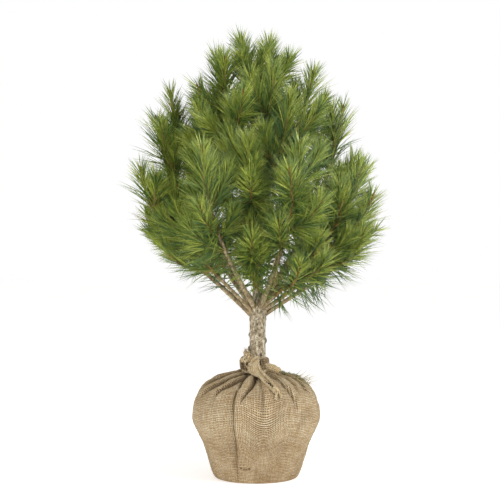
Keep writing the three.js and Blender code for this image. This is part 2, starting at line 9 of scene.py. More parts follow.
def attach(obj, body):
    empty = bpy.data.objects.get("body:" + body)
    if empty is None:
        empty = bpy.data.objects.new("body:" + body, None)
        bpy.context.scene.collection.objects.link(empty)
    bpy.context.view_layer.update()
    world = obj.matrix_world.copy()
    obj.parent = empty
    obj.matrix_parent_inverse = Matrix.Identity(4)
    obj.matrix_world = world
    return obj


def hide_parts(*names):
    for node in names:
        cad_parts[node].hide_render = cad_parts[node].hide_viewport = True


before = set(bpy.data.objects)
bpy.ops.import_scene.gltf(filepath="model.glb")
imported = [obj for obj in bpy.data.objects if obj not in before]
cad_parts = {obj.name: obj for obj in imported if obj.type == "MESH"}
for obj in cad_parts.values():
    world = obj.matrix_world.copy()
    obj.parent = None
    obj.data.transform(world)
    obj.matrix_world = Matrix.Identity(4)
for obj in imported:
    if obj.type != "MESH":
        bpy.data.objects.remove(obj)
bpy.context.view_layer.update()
print("frame loaded:", len(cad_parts), "nodes")

mm = 0.001


def linear(hexColour):
    # sRGB hex to the linear colour a shader reads
    parts = [int(hexColour[k:k + 2], 16) / 255 for k in (1, 3, 5)]
    return (*[p / 12.92 if p <= 0.04045 else ((p + 0.055) / 1.055) ** 2.4 for p in parts], 1)


def addNode(tree, kind, inputs=None, output=0, **settings):
    # one node with its settings; an input is a number, a colour or another node's output
    made = tree.nodes.new(kind)
    for key, value in settings.items():
        setattr(made, key, value)
    for key, value in (inputs or {}).items():
        if isinstance(value, bpy.types.NodeSocket):
            tree.links.new(value, made.inputs[key])
        else:
            made.inputs[key].default_value = value
    return made.outputs[output] if made.outputs else None


def spot(azimuth, distance, height):
    # a place by its azimuth, its distance from the ball's axis and its height
    return towards(azimuth, 0) * distance + np.array([0, 0, height])


def distances(points):
    # how far along a line each of its points is
    return np.concatenate([[0], np.cumsum(np.linalg.norm(np.diff(points, axis=0), axis=1))])


def merged(rows):
    # several lists of arrays as one list
    return [np.concatenate(part) for part in zip(*rows)]


def smooth(value, low, high):
    t = np.clip((np.asarray(value, float) - low) / (high - low), 0, 1)
    return t * t * (3 - 2 * t)


def lerp(a, b, t):
    return a + (b - a) * t


def unit(v):
    v = np.asarray(v, float)
    return v / np.maximum(np.linalg.norm(v, axis=-1, keepdims=True), 1e-12)


def towards(azimuth, elevation):
    # azimuth in degrees from +X towards +Y, elevation in degrees above level
    a, e = np.radians(azimuth), np.radians(elevation)
    return np.stack([np.cos(e) * np.cos(a), np.cos(e) * np.sin(a), np.sin(e) + 0 * a], axis=-1)


def chance(a, b):
    # a repeatable number from 0 to 1 for any two numbers
    wave = np.sin(a * 12.9898 + b * 78.233) * 43758.5453
    return wave - np.floor(wave)


def offBy(azimuth, middle):
    # degrees from one azimuth to another, from -180 to 180
    return (azimuth - middle + 540) % 360 - 180


def near(azimuth, middle, width):
    # 1 on the middle azimuth or height, falling smoothly to 0 at width away
    off = np.abs(offBy(np.asarray(azimuth), middle)) / width
    return np.where(off < 1, (1 - off * off) ** 2, 0)


def through(points, count):
    # a smooth line through the points
    points = np.asarray(points, float)
    ends = np.concatenate([points[:1], points, points[-1:]])
    t = np.linspace(0, len(points) - 1, count)
    k = np.minimum(t.astype(int), len(points) - 2)
    f = (t - k)[:, None]
    a, b, c, d = ends[k], ends[k + 1], ends[k + 2], ends[k + 3]
    return b + 0.5 * f * ((c - a) + f * ((2 * a - 5 * b + 4 * c - d) + f * (3 * (b - c) + d - a)))


def gridFaces(rows, columns, closed):
    # four-sided faces between rows of corners; in a closed grid the last column joins the first
    first = np.arange(columns if closed else columns - 1)
    k, j = np.meshgrid(np.arange(rows - 1) * columns, first, indexing="ij")
    ahead = (j + 1) % columns
    return np.stack([k + j, k + ahead, k + columns + ahead, k + columns + j], axis=-1).reshape(-1, 4)


def meshPiece(name, places, faces, uv=None, attributes=None):
    # places in mm; uv is one pair for every corner of every face, in face order
    mesh = bpy.data.meshes.new(name)
    mesh.from_pydata((np.asarray(places) * mm).tolist(), [], [list(map(int, f)) for f in faces])
    if uv is not None:
        layer = mesh.uv_layers.new(name="UVMap")
        layer.data.foreach_set("uv", np.asarray(uv, np.float32).ravel())
    for key, values in (attributes or {}).items():
        values = np.asarray(values, np.float32)
        kind = "FLOAT_VECTOR" if values.ndim == 2 else "FLOAT"
        field = "vector" if values.ndim == 2 else "value"
        mesh.attributes.new(key, kind, "POINT").data.foreach_set(field, values.ravel())
    if len(mesh.polygons):
        mesh.polygons.foreach_set("use_smooth", [True] * len(mesh.polygons))
    mesh.update()
    piece = bpy.data.objects.new(name, mesh)
    bpy.context.scene.collection.objects.link(piece)
    return piece


def runTree(piece, tree, values):
    # runs a node tree on a piece and keeps the plain mesh that comes out
    modifier = piece.modifiers.new(tree.name, "NODES")
    modifier.node_group = tree
    for item in tree.interface.items_tree:
        if item.item_type == "SOCKET" and item.in_out == "INPUT" and item.name in values:
            modifier[item.identifier] = values[item.name]
    bpy.context.view_layer.update()
    ready = piece.evaluated_get(bpy.context.evaluated_depsgraph_get())
    mesh = bpy.data.meshes.new_from_object(ready)
    piece.modifiers.clear()
    if piece.type != "MESH":
        name = piece.name
        bpy.data.objects.remove(piece)
        piece = bpy.data.objects.new(name, mesh)
        bpy.context.scene.collection.objects.link(piece)
    else:
        piece.data = mesh
    mesh.name = piece.name
    return piece


def newTree(name, inputs):
    tree = bpy.data.node_groups.new(name, "GeometryNodeTree")
    tree.interface.new_socket("Geometry", in_out="INPUT", socket_type="NodeSocketGeometry")
    for label, kind, value in inputs:
        socket = tree.interface.new_socket(label, in_out="INPUT", socket_type=kind)
        if value is not None:
            socket.default_value = value
    tree.interface.new_socket("Geometry", in_out="OUTPUT", socket_type="NodeSocketGeometry")
    return tree


blend = {"output": 2, "data_type": "RGBA"}  # for a Mix node that blends colours


def newMaterial(name, inputs):
    material = bpy.data.materials.new(name)
    material.use_nodes = True
    tree = material.node_tree
    tree.nodes.clear()
    shader = addNode(tree, "ShaderNodeBsdfPrincipled", inputs)
    addNode(tree, "ShaderNodeOutputMaterial", {"Surface": shader})
    return material, tree, shader.node


# the camera and the light, in metres and watts
studio = {"distance": 3.2, "height": 0.588, "aside": -0.016, "lens": 88.6, "sky": 0.6, "floorGlow": 0.42}
lamps = [  # name, place, aim, size, power
    ("key", (2.2, -1.6, 2.5), (0, 0, 0.5), 1.6, 58),
    ("fill", (-2.3, -1.3, 1.7), (0, 0, 0.5), 1.8, 18),
    ("front", (-0.5, -2.7, 0.5), (0, 0, 0.35), 1.2, 9),
]


def areaLight(name, place, aim, size, energy):
    light = bpy.data.lights.new(name, "AREA")
    light.shape = "RECTANGLE"
    light.size = size
    light.size_y = size
    light.energy = energy
    lamp = bpy.data.objects.new(name, light)
    lamp.location = place
    lamp.rotation_euler = (Vector(aim) - Vector(place)).to_track_quat("-Z", "Y").to_euler()
    bpy.context.scene.collection.objects.link(lamp)


def makeStudio():
    scene = bpy.context.scene
    data = bpy.data.cameras.new("camera")
    data.lens = studio["lens"]
    data.sensor_width = 36
    camera = bpy.data.objects.new("camera", data)
    camera.location = (studio["aside"], -studio["distance"], studio["height"])
    camera.rotation_euler = (math.pi / 2, 0, 0)
    scene.collection.objects.link(camera)
    scene.camera = camera
    scene.view_settings.view_transform = "Standard"
    world = bpy.data.worlds.new("softbox")
    world.use_nodes = True
    tree = world.node_tree
    seen = addNode(tree, "ShaderNodeLightPath", output="Is Camera Ray")
    strength = addNode(tree, "ShaderNodeMix", {0: seen, 2: studio["sky"], 3: 1.0}, data_type="FLOAT")
    tree.nodes["Background"].inputs["Color"].default_value = (1, 1, 1, 1)
    tree.links.new(strength, tree.nodes["Background"].inputs["Strength"])
    scene.world = world
    for lamp in lamps:
        areaLight(*lamp)
    bpy.ops.mesh.primitive_plane_add(size=40, location=(0, 0, 0))
    floor = bpy.context.object
    floor.name = "floor"
    paper, _, _ = newMaterial("white paper sweep, lit from below", {
        "Base Color": linear("#fbfbfa"), "Roughness": 0.9,
        "Emission Color": (1, 1, 1, 1), "Emission Strength": studio["floorGlow"],
    })
    floor.data.materials.append(paper)


makeStudio()
print("studio ready")

# how the plant grows: lengths in mm, angles in degrees
goldenAngle = 137.5  # from one shoot, bundle or scar to the next, round the stem
plant = {
    "air": 0.4,  # between a bough's bark and the foliage on it
    "offset": 2,  # the trunk and the crown stand this far to the right of the ball's middle
    "foot": 268.4, "start": 2, "radius": 20.5, "flare": 4.5, "flareHeight": 32,
    "whorl": 432, "whorlSwell": 2, "aboveWhorl": 13.5,
    "tip": 930, "tipRadius": 5, "crownTip": 1128,
    "lean": -42, "leanPower": 4.5,
}
shoot = {
    "radius": 4, "ringStep": 20, "reach": 165, "spread": 50,
    "from": 0.34, "to": 0.84,  # the part of a limb's line that bears side shoots
    "tries": 14, "turnOn": 0.37, "shorten": 0.03,  # a shoot without room is turned on and made shorter
    "clearance": 36, "clearFrom": 0.3, "room": 10, "gap": 6,
}
spray = {
    "length": 108, "lengthens": 110, "oldAngle": 84, "young": 270, "droop": 0.14,
    "lowest": 410, "underside": 0.42, "leftLift": 46, "leftEdge": 215, "leftRise": 1,  # the crown's underside
}

# name, azimuth, foot, reach, top, lift, upturn, bare share, girth, side shoots
limbRows = [
    ("right_crest", 25, 905, 36, 1124, 62, 84, 0, 5, 2),
    ("left", 190, 403, 302, 792, 46, 80, 0.3, 8.5, 5),
    ("front_left", 239, 424, 262, 832, 44, 84, 0.3, 8.5, 4),
    ("left_upper", 174, 440, 266, 930, 52, 80, 0.3, 7, 4),
    ("back_left", 151, 420, 266, 1010, 56, 82, 0.32, 8, 4),
    ("front_right", 295, 424, 240, 840, 47, 82, 0.3, 9.5, 5),
    ("right", 341, 436, 276, 802, 44, 78, 0.3, 8.5, 4),
    ("right_mid", 352, 420, 300, 726, 36, 66, 0.3, 7, 3),
    ("right_low", 4, 408, 310, 642, 34, 48, 0.26, 7, 3),
    ("front_right_low", 316, 426, 216, 618, 38, 60, 0.24, 6.5, 3),
    ("front_left_low", 216, 412, 246, 690, 44, 70, 0.32, 6.5, 3),
    ("right_upper", 28, 436, 264, 970, 52, 80, 0.3, 8, 5),
    ("back", 92, 432, 262, 890, 48, 82, 0.3, 8, 4),
    ("back_left_low", 124, 412, 285, 735, 42, 78, 0.28, 7.5, 4),
    ("back_right_low", 58, 414, 290, 745, 40, 78, 0.28, 7.5, 3),
    ("front_low", 264, 480, 150, 652, 30, 74, 0, 6, 3),
    ("back_low", 85, 505, 150, 700, 32, 74, 0, 6, 2),
    ("left_mid", 203, 640, 158, 944, 48, 82, 0, 6, 3),
    ("front_mid", 262, 615, 172, 856, 40, 82, 0, 6, 3),
    ("right_top", 17, 690, 154, 1052, 58, 80, 0, 6, 2),
    ("front_right_mid", 312, 675, 122, 976, 50, 80, 0, 6, 3),
    ("back_mid", 78, 655, 152, 985, 50, 80, 0, 6, 3),
    ("back_left_mid", 140, 700, 140, 1000, 52, 80, 0, 6, 2),
    ("left_top", 181, 838, 104, 1084, 52, 84, 0, 5, 3),
    ("front_top", 303, 842, 76, 1046, 50, 84, 0, 5, 2),
    ("front_left_top", 236, 790, 116, 950, 46, 80, 0, 5, 2),
    ("back_top", 96, 850, 92, 1050, 52, 82, 0, 5, 2),
]
# how far out a shoot's tip may stand, by height: (distance, height)
crownEdge = [
    (150, 470), (258, 560), (300, 650), (292, 780), (268, 880),
    (240, 960), (165, 1020), (105, 1085), (45, 1135),
]


class Path:
    # a smooth line, measured along its own length from 0 to 1
    def __init__(self, points):
        self.points = np.asarray(points, float)
        self.reached = distances(self.points)
        self.length = self.reached[-1]
        tangents = self.along(np.linspace(0, 1, 61))
        level = np.zeros(3)
        level[2 - int(np.argmin(np.abs(tangents[0][::-1])))] = 1
        normals = [np.cross(tangents[0], unit(np.cross(tangents[0], level)))]
        for before, after in zip(tangents, tangents[1:]):
            axis = np.cross(before, after)
            turned = normals[-1]
            if np.linalg.norm(axis) > 1e-9:
                angle = math.acos(min(1.0, float(before @ after)))
                k = unit(axis)
                turned = (turned * math.cos(angle) + np.cross(k, turned) * math.sin(angle)
                          + k * (k @ turned) * (1 - math.cos(angle)))
            normals.append(turned)
        self.normals = np.array(normals)

    def at(self, share):
        place = np.asarray(share, float) * self.length
        return np.stack([np.interp(place, self.reached, self.points[:, k]) for k in range(3)], axis=-1)

    def along(self, share):
        share = np.asarray(share, float)
        return unit(self.at(np.minimum(share + 0.002, 1)) - self.at(np.maximum(share - 0.002, 0)))

    def across(self, share, turn):
        # a direction square to the line, turned by some degrees round it
        along = self.along(share)
        normal = self.normals[np.floor(np.asarray(share) * 60 + 0.5).astype(int)]
        normal = unit(normal - along * np.sum(along * normal, axis=-1, keepdims=True))
        turn = np.radians(turn)[..., None]
        return normal * np.cos(turn) + np.cross(along, normal) * np.sin(turn)


def bezier(*corners):
    t = np.linspace(0, 1, 401)[:, None]
    corners = [np.asarray(c, float) for c in corners]
    while len(corners) > 1:
        corners = [a * (1 - t) + b * t for a, b in zip(corners, corners[1:])]
    return Path(corners[0])


def trunkLine():
    share = np.linspace(0, 1, 401)
    aside = plant["start"] + (plant["lean"] - plant["start"]) * share ** plant["leanPower"]
    return Path(np.stack([aside, 0 * share, lerp(plant["foot"], plant["crownTip"], share)], axis=1))


trunkPath = trunkLine()


def trunkShare(height):
    return float(np.interp(height, trunkPath.points[:, 2], trunkPath.reached)) / trunkPath.length


trunkEnd = trunkShare(plant["tip"])


def trunkRadius(share):
    height = plant["foot"] + share * (plant["crownTip"] - plant["foot"])
    flare = plant["flare"] * (1 - smooth(height, plant["foot"], plant["foot"] + plant["flareHeight"]))
    stout = plant["radius"] + flare + plant["whorlSwell"] * near(height, plant["whorl"] - 8, 40)
    thinning = smooth(height, plant["whorl"], plant["tip"] + 260) * 1.35
    slim = lerp(plant["aboveWhorl"], plant["tipRadius"], thinning)
    above = smooth(height, plant["whorl"] - 4, plant["whorl"] + 34)
    return lerp(stout, np.maximum(slim, plant["tipRadius"]), above)


class Limb:
    def __init__(self, name, azimuth, foot, reach, top, lift, upturn, bare, girth, shoots):
        self.name, self.bare, self.girth, self.shoots = name, bare, girth, shoots
        if name == "leader":
            self.path = trunkPath
            return
        start = trunkPath.at(trunkShare(foot))
        end = spot(azimuth, reach, top)
        handle = 0.38 * np.linalg.norm(end - start)
        self.path = bezier(start, start + towards(azimuth, lift) * handle,
                           end - towards(azimuth, upturn) * handle, end)

    def radius(self, share):
        share = np.asarray(share, float)
        if self.name == "leader":
            return lerp(plant["tipRadius"], shoot["radius"], (share - trunkEnd) / (1 - trunkEnd))
        swell = 1.5 * (1 - smooth(share, 0, 0.12))
        return lerp(self.girth, shoot["radius"], np.minimum(1, share * 1.15) ** 0.8) + swell


class Line:
    # one growing stem: a limb's foliage stem, a side shoot or a finer twig
    def __init__(self, path, start, radius, name, mass, order):
        self.path, self.start, self.radius = path, start, radius
        self.name, self.mass, self.order = name, mass, order
        self.length = path.length * (1 - start)

    def share(self, behind):
        return 1 - np.asarray(behind) / self.path.length


class Crown:
    # every stretch of trunk, bough and stem that stands so far
    def __init__(self):
        self.rows = []

    def add(self, a, b, ra, rb, mass, line):
        self.rows.append((a, b, float(ra), float(rb), mass, line))

    def ends(self):
        return np.array([r[0] for r in self.rows]), np.array([r[1] for r in self.rows])

    def addLimb(self, path, to, radius, name):
        count = max(1, int(path.length * to / 30 + 0.5))
        marks = np.linspace(0, to, count + 1)
        places = path.at(marks)
        for k in range(count):
            self.add(places[k], places[k + 1], radius(marks[k]), radius(marks[k + 1]), name, name)

    def addLine(self, line, first):
        count = max(2, int(line.length / shoot["ringStep"] + 0.5))
        places = line.path.at(np.linspace(line.start, 1, count + 1))
        for k in range(first, count):
            self.add(places[k], places[k + 1], line.radius(line.start), line.radius(1), line.mass, line.name)

    def gaps(self, a, b, room):
        # the least gap from one stretch to every other, where their middle lines come closest
        (oa, ob), (ra, rb) = self.ends(), np.array([r[2:4] for r in self.rows]).T
        d1, d2, r = b - a, ob - oa, a - oa
        aa, ee, ff = d1 @ d1, np.sum(d2 * d2, 1), np.sum(d2 * r, 1)
        bb, cc = d2 @ d1, r @ d1
        spread = aa * ee - bb * bb
        s = np.where(spread > 1e-9, np.clip((bb * ff - cc * ee) / np.maximum(spread, 1e-9), 0, 1), 0)
        t = (bb * s + ff) / ee
        s = np.where((t < 0) | (t > 1), np.clip((bb * np.clip(t, 0, 1) - cc) / aa, 0, 1), s)
        t = np.clip(t, 0, 1)
        apart = np.linalg.norm(a + d1 * s[:, None] - oa - d2 * t[:, None], axis=1)
        gap = apart - room - ra * (1 - t) - rb * t
        far = np.linalg.norm(oa - a, axis=1) > np.linalg.norm(d1) + 30 + np.sqrt(ee)
        return np.where(far, 1e9, gap)

    def inOwnSpace(self, point, mass, favour):
        a, b = self.ends()
        distance = np.minimum(np.linalg.norm(a - point, axis=1), np.linalg.norm(b - point, axis=1))
        own = np.array([r[4] == mass for r in self.rows])
        return distance[own].min() < distance[~own].min() * favour + 12

    def crowded(self, tip, name, clearance):
        # whether a tip of another line stands too close
        others = np.array([r[5] != name for r in self.rows])
        return np.any(np.linalg.norm(self.ends()[1] - tip, axis=1)[others] < clearance)


def edgeAt(height):
    return np.interp(height, [h for _, h in crownEdge], [d for d, _ in crownEdge])


def lowestAt(point):
    outwards = np.maximum(0, np.hypot(point[..., 0], point[..., 1]) - 110)
    left = smooth(-point[..., 0], -20, 60)
    steep = spray["leftRise"] * np.maximum(0, -point[..., 0] - spray["leftEdge"])
    return spray["lowest"] + spray["leftLift"] * left + spray["underside"] * outwards + steep


def sidePath(path, share, turn, length):
    spread = math.radians(shoot["spread"])
    out = path.along(share) * math.cos(spread) + path.across(share, np.array(turn)) * math.sin(spread)
    foot = path.at(share)
    middle = foot + out * length * 0.55
    tip = middle + unit(lerp(out, np.array([0, 0, 1]), 0.62)) * length * 0.5
    return bezier(foot, middle, tip)


def findRoom(crown, parent, share, number, first, length, rule, allowed):
    # the first of several directions in which a side shoot has room, or nothing
    for attempt in range(rule["tries"]):
        turn = goldenAngle * (number + attempt * rule["turnOn"]) + 360 * first
        path = sidePath(parent.path, share, turn, length * (1 - rule["shorten"] * attempt))
        tip = path.at(1)
        if not allowed(path, tip) or not crown.inOwnSpace(tip, parent.mass, 0.95):
            continue
        if crown.crowded(tip, parent.name, rule["clearance"]):
            continue
        if not np.any(crown.gaps(path.at(rule["clearFrom"]), tip, rule["room"]) <= rule["gap"]):
            return path


def shootAllowed(path, tip):
    within = np.hypot(tip[0], tip[1]) <= edgeAt(tip[2]) and tip[2] <= plant["crownTip"]
    return within and path.at(0.55)[2] >= plant["whorl"] + 40


def shootRadius(share):
    return shoot["radius"] * lerp(0.62, 1.1, smooth(share, 0, 0.1)) * lerp(1, 0.8, share)


def growShoots(crown, stem, limb, seed):
    grown = []
    for k in range(limb.shoots):
        even = lerp(max(stem.start + 0.1, shoot["from"]), shoot["to"], (k + 0.5) / limb.shoots)
        share = even + 0.05 * (chance(seed, k) - 0.5)
        length = shoot["reach"] * (1.12 - 0.62 * share) * (0.85 + 0.3 * chance(seed, k + 20))
        path = findRoom(crown, stem, share, k, chance(seed, 40), length, shoot, shootAllowed)
        if path:
            line = Line(path, 0, shootRadius, f"{stem.name}/{k}", stem.mass, 1)
            crown.addLine(line, 1)
            grown.append(line)
    return grown


def growCrown():
    crown = Crown()
    crown.addLimb(trunkPath, trunkEnd, trunkRadius, "trunk")
    limbs = [Limb("leader", 0, plant["tip"], 0, 0, 0, 0, 0, 0, 4)] + [Limb(*row) for row in limbRows]
    stems = []
    for limb in limbs:
        if limb.bare > 0:
            crown.addLimb(limb.path, limb.bare, limb.radius, "bough_" + limb.name)
        bareEnd = trunkEnd if limb.name == "leader" else limb.bare
        start = bareEnd + plant["air"] / limb.path.length if bareEnd else 0
        stem = Line(limb.path, start, limb.radius, "stem_" + limb.name, "foliage_" + limb.name, 0)
        crown.addLine(stem, 0)
        stems.append(stem)
    lines = list(stems)
    for index, (limb, stem) in enumerate(zip(limbs, stems)):
        lines += growShoots(crown, stem, limb, index * 17 + 5)
    return crown, limbs, lines


crown, limbs, lines = growCrown()
print("stems and side shoots:", len(lines))

# finer twigs between the source's side shoots, in mm; first and last are measured behind the parent's tip
twig = {
    "every": 62, "first": 100, "last": 350, "length": 92, "most": 50,
    "tries": 6, "turnOn": 0.43, "shorten": 0.05, "clearance": 40, "clearFrom": 0.35, "room": 5, "gap": 3,
    "inEdge": 8, "aboveLowest": 60, "foot": 2.6, "tip": 2.1,
}


def twigAllowed(path, tip):
    within = np.hypot(tip[0], tip[1]) <= edgeAt(tip[2]) - twig["inEdge"]
    return within and tip[2] >= lowestAt(tip) + twig["aboveLowest"]


def growTwigs(crown, lines):
    # short twigs by the side shoots' rule, each in a place of its own
    grown = []
    for index, parent in enumerate(lines):
        reach = min(twig["last"], parent.length - 40)
        for k in range(int(max(0, reach - twig["first"]) / twig["every"]) + 1):
            behind = twig["first"] + twig["every"] * (k + 0.5 * chance(index, k))
            if behind > reach or len(grown) >= twig["most"]:
                continue
            share = float(parent.share(behind))
            length = twig["length"] * (0.7 + 0.5 * chance(index + 3, k))
            path = findRoom(crown, parent, share, k, chance(index, 7), length, twig, twigAllowed)
            if path:
                radius = partial(lerp, twig["foot"], twig["tip"])
                line = Line(path, 0, radius, f"{parent.name}.{k}", parent.mass, 2)
                crown.addLine(line, 1)
                grown.append(line)
    return grown


twigs = growTwigs(crown, lines)
allLines = lines + twigs
print("finer twigs:", len(twigs))

bark = {
    "barkFrom": 210,  # old bark reaches to this far behind a limb's tip
    "ringStep": 3.2, "sides": 14, "youngStep": 9, "youngSides": 7,
    "scars": (8, 1.7, 0.8), "youngScars": (9, 1.6, 0.5),  # spacing, size and lift of the leaf scars
    "slimness": 0.86,  # the boughs' own girth, as a share of the source's
}
trunkSurface = {
    "rings": 150, "sides": 72,
    "finerTo": 470,  # the rings stand closer up to this height
    "scarGirth": 17, "scarSpacing": 7.2, "scarSize": 2.0, "scarLift": 0.9, "stubLift": 0.62,
    "fluting": 0.5, "fineFluting": 0.35, "plates": 0.35,
}
knots = [  # height, azimuth, size: stubs of the oldest twigs on the trunk
    (368, 184, 5), (331, 192, 8), (353, 352, 6.5), (396, 262, 4), (318, 292, 4.5), (344, 96, 7), (384, 52, 5),
    (303, 20, 5),
]


def tube(path, marks, radii):
    # rings of corners along a line, closed at both ends; radii is a row of numbers for each ring
    places, sides = path.at(marks), radii.shape[1]
    ways = [path.across(marks, np.full(len(marks), 360 * j / sides)) for j in range(sides)]
    rings = np.stack([places + way * radii[:, j, None] for j, way in enumerate(ways)], axis=1)
    corners = np.concatenate([rings.reshape(-1, 3), places[:1], places[-1:]])
    turn, count = np.arange(sides), len(marks) * sides
    after, last = (turn + 1) % sides, count - sides
    foot = np.stack([np.full(sides, count), after, turn], axis=1)
    head = np.stack([np.full(sides, count + 1), last + turn, last + after], axis=1)
    return corners, gridFaces(len(marks), sides, True).tolist() + foot.tolist() + head.tolist()


def joined(parts):
    # several (corners, faces, values) as one
    corners, faces, values, count = [], [], [], 0
    for places, own, value in parts:
        corners.append(places)
        values.append(value)
        faces += [[index + count for index in face] for face in own]
        count += len(places)
    return np.concatenate(corners), faces, np.concatenate(values)


def scarPlaces(length, girth, seed, spacing, size):
    # leaf scars in a spiral, as (distance along, degrees round, half width)
    count = int(length * 2 * math.pi * girth / spacing ** 2)
    k = np.arange(count)
    along = (k + chance(k, seed)) / max(count, 1) * length
    return along, (goldenAngle * k + 40 * chance(k, seed + 1)) % 360, size * (0.6 + 0.8 * chance(k, seed + 2))


def scarMarks(reached, turns, radii, scars, tall):
    # 1 in the middle of a scar and 0 between them, at every ring and turn
    marked = np.zeros_like(radii)
    for s, a, h in zip(*scars):
        rows = np.abs(reached - s) < 2.5 * h
        off = np.abs(offBy(turns, a)) * math.pi / 180 * radii[rows][:, :1]
        marked[rows] += np.exp(-((reached[rows] - s)[:, None] / (tall * h)) ** 2 - (off / h) ** 2)
    return np.minimum(marked, 1)


def barkTube(path, low, high, radius, seed, step, sides, spacing, size, lift):
    marks = np.linspace(low, high, max(3, int(path.length * (high - low) / step)))
    turns = np.arange(sides) * 360 / sides
    radii = radius(marks)[:, None] * np.ones(sides)
    reached = (marks - low) * path.length
    scars = scarPlaces(reached[-1], float(np.mean(radii)), seed, spacing, size)
    scar = scarMarks(reached, turns, radii, scars, 0.55)
    grain = np.sin(turns * math.pi / 180 * 5 + reached[:, None] * 0.05 + seed)
    grain = grain * np.sin(reached[:, None] * 0.31 + seed * 2)
    corners, faces = tube(path, marks, radii * (1 + 0.022 * grain) + lift * scar)
    return corners, faces, np.concatenate([scar.ravel(), [0, 0]])


def barkMaterial(name, colours, grainSize, contrast=0.55):
    # weathered bark: pale scaly plates with darker leaf scars and a fine rough grain
    pale, mid, dark, scarColour = colours
    material, tree, shader = newMaterial(name, {"Roughness": 0.9, "IOR": 1.5})
    add = partial(addNode, tree)
    place = add("ShaderNodeTexCoord", output="Object")
    stretched = add("ShaderNodeMapping", {"Vector": place, "Scale": (1, 1, 0.45)})
    patches = add("ShaderNodeTexNoise", {"Vector": stretched, "Scale": 1 / (4 * grainSize), "Detail": 5})
    fine = add("ShaderNodeTexNoise", {"Vector": stretched, "Scale": 1 / grainSize, "Detail": 3})
    plates = add("ShaderNodeValToRGB", {"Fac": patches})
    stops = plates.node.color_ramp.elements
    stops.new(0.5)
    for stop, position, colour in zip(stops, (0.36, 0.5, 0.64), (dark, mid, pale)):
        stop.position = position
        stop.color = linear(colour)
    flecks = add("ShaderNodeMapRange", {0: fine, 1: 0.38, 2: 0.6})
    speckled = add("ShaderNodeMix", {0: flecks, 6: linear(dark), 7: plates}, **blend)
    shaded = add("ShaderNodeMix", {0: contrast, 6: plates, 7: speckled}, **blend)
    scar = add("ShaderNodeAttribute", output="Fac", attribute_name="scar")
    depth = add("ShaderNodeMath", {0: scar, 1: 0.85}, operation="MULTIPLY")
    marked = add("ShaderNodeMix", {0: depth, 6: shaded, 7: linear(scarColour)}, **blend)
    tree.links.new(marked, shader.inputs["Base Color"])
    bump = add("ShaderNodeBump", {"Strength": 0.7, "Distance": 0.8 * mm, "Height": fine})
    tree.links.new(bump, shader.inputs["Normal"])
    return material


def settle(piece, materials, slot, *nodes):
    # the finished piece goes with the frame
    for material in materials:
        piece.data.materials.append(material)
    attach(piece, "root")
    if nodes:
        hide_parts(*nodes)
    triangles = sum(len(p.vertices) - 2 for p in piece.data.polygons)
    print(piece.name, triangles, "triangles")


shift = np.array([plant["offset"], 0, 0])  # the tree stands this far from the ball's middle


def makeTrunk():
    surface = trunkSurface
    finer = trunkShare(surface["finerTo"])
    marks = np.concatenate([
        np.linspace(0, finer, surface["rings"]), np.linspace(finer, trunkEnd, surface["rings"])[1:],
    ])
    turns = np.arange(surface["sides"]) * 360 / surface["sides"]
    heights = trunkPath.at(marks)[:, 2]
    radii = trunkRadius(marks)[:, None] * np.ones(surface["sides"])
    tall = plant["tip"] - plant["foot"]
    scars = scarPlaces(tall, surface["scarGirth"], 4, surface["scarSpacing"], surface["scarSize"])
    scar = scarMarks(heights - plant["foot"], turns, radii, scars, 0.5)
    # the line's own first direction across sets where azimuth 0 lies
    zero = math.degrees(math.atan2(*trunkPath.across(np.array(0.0), np.array(0.0))[[1, 0]]))
    stub = np.zeros_like(radii)
    for height, azimuth, size in knots:
        off = np.abs(offBy(turns + zero, azimuth)) * math.pi / 180 * plant["radius"]
        swell = np.exp(-((heights - height)[:, None] / size) ** 4 - (off / (0.8 * size)) ** 4)
        stub = np.maximum(stub, size * surface["stubLift"] * swell)
    around, up = np.radians(turns), heights[:, None]
    broad, fine = np.sin(around * 3 + up * 0.02), np.sin(around * 7 - up * 0.05)
    fluting = surface["fluting"] * broad + surface["fineFluting"] * fine
    plates = np.abs(np.sin(around * 9 + 2.5 * np.sin(up * 0.07))) ** 0.5 * np.sin(up * 0.42)
    radii = radii + surface["scarLift"] * scar + stub + fluting + surface["plates"] * plates
    corners, faces = tube(trunkPath, marks, radii)
    dark = np.concatenate([np.clip(1.3 * scar + stub / 3, 0, 1).ravel(), [0, 0]])
    piece = meshPiece("trunk_bark", corners + shift, faces, attributes={"scar": dark})
    colours = ("#ebe0ca", "#c0b194", "#84755c", "#2e261c")
    settle(piece, [barkMaterial("pine bark, weathered grey tan", colours, 1.35 * mm, 0.6)], "bark", "trunk")


def barkPiece(name, parts, finish, colours, grainSize, *nodes):
    corners, faces, scar = joined(parts)
    piece = meshPiece(name, corners + shift, faces, attributes={"scar": scar})
    settle(piece, [barkMaterial(finish, colours, grainSize)], "bark", *nodes)


def makeBoughs():
    parts, boughs = [], []
    for index, limb in enumerate(limbs):
        end = 1 - bark["barkFrom"] / limb.path.length
        if limb.name == "leader" or end <= 0.02:
            continue
        slim = partial(lambda radius, share: radius(share) * bark["slimness"], limb.radius)
        step, sides = bark["ringStep"], bark["sides"]
        parts.append(barkTube(limb.path, 0, end, slim, index, step, sides, *bark["scars"]))
        if limb.bare > 0:
            boughs.append("bough_" + limb.name)
    barkPiece("bough_bark", parts, "bough bark, tan with small scars",
              ("#c9b693", "#aa9572", "#766549", "#584a38"), 1.8 * mm, *boughs)


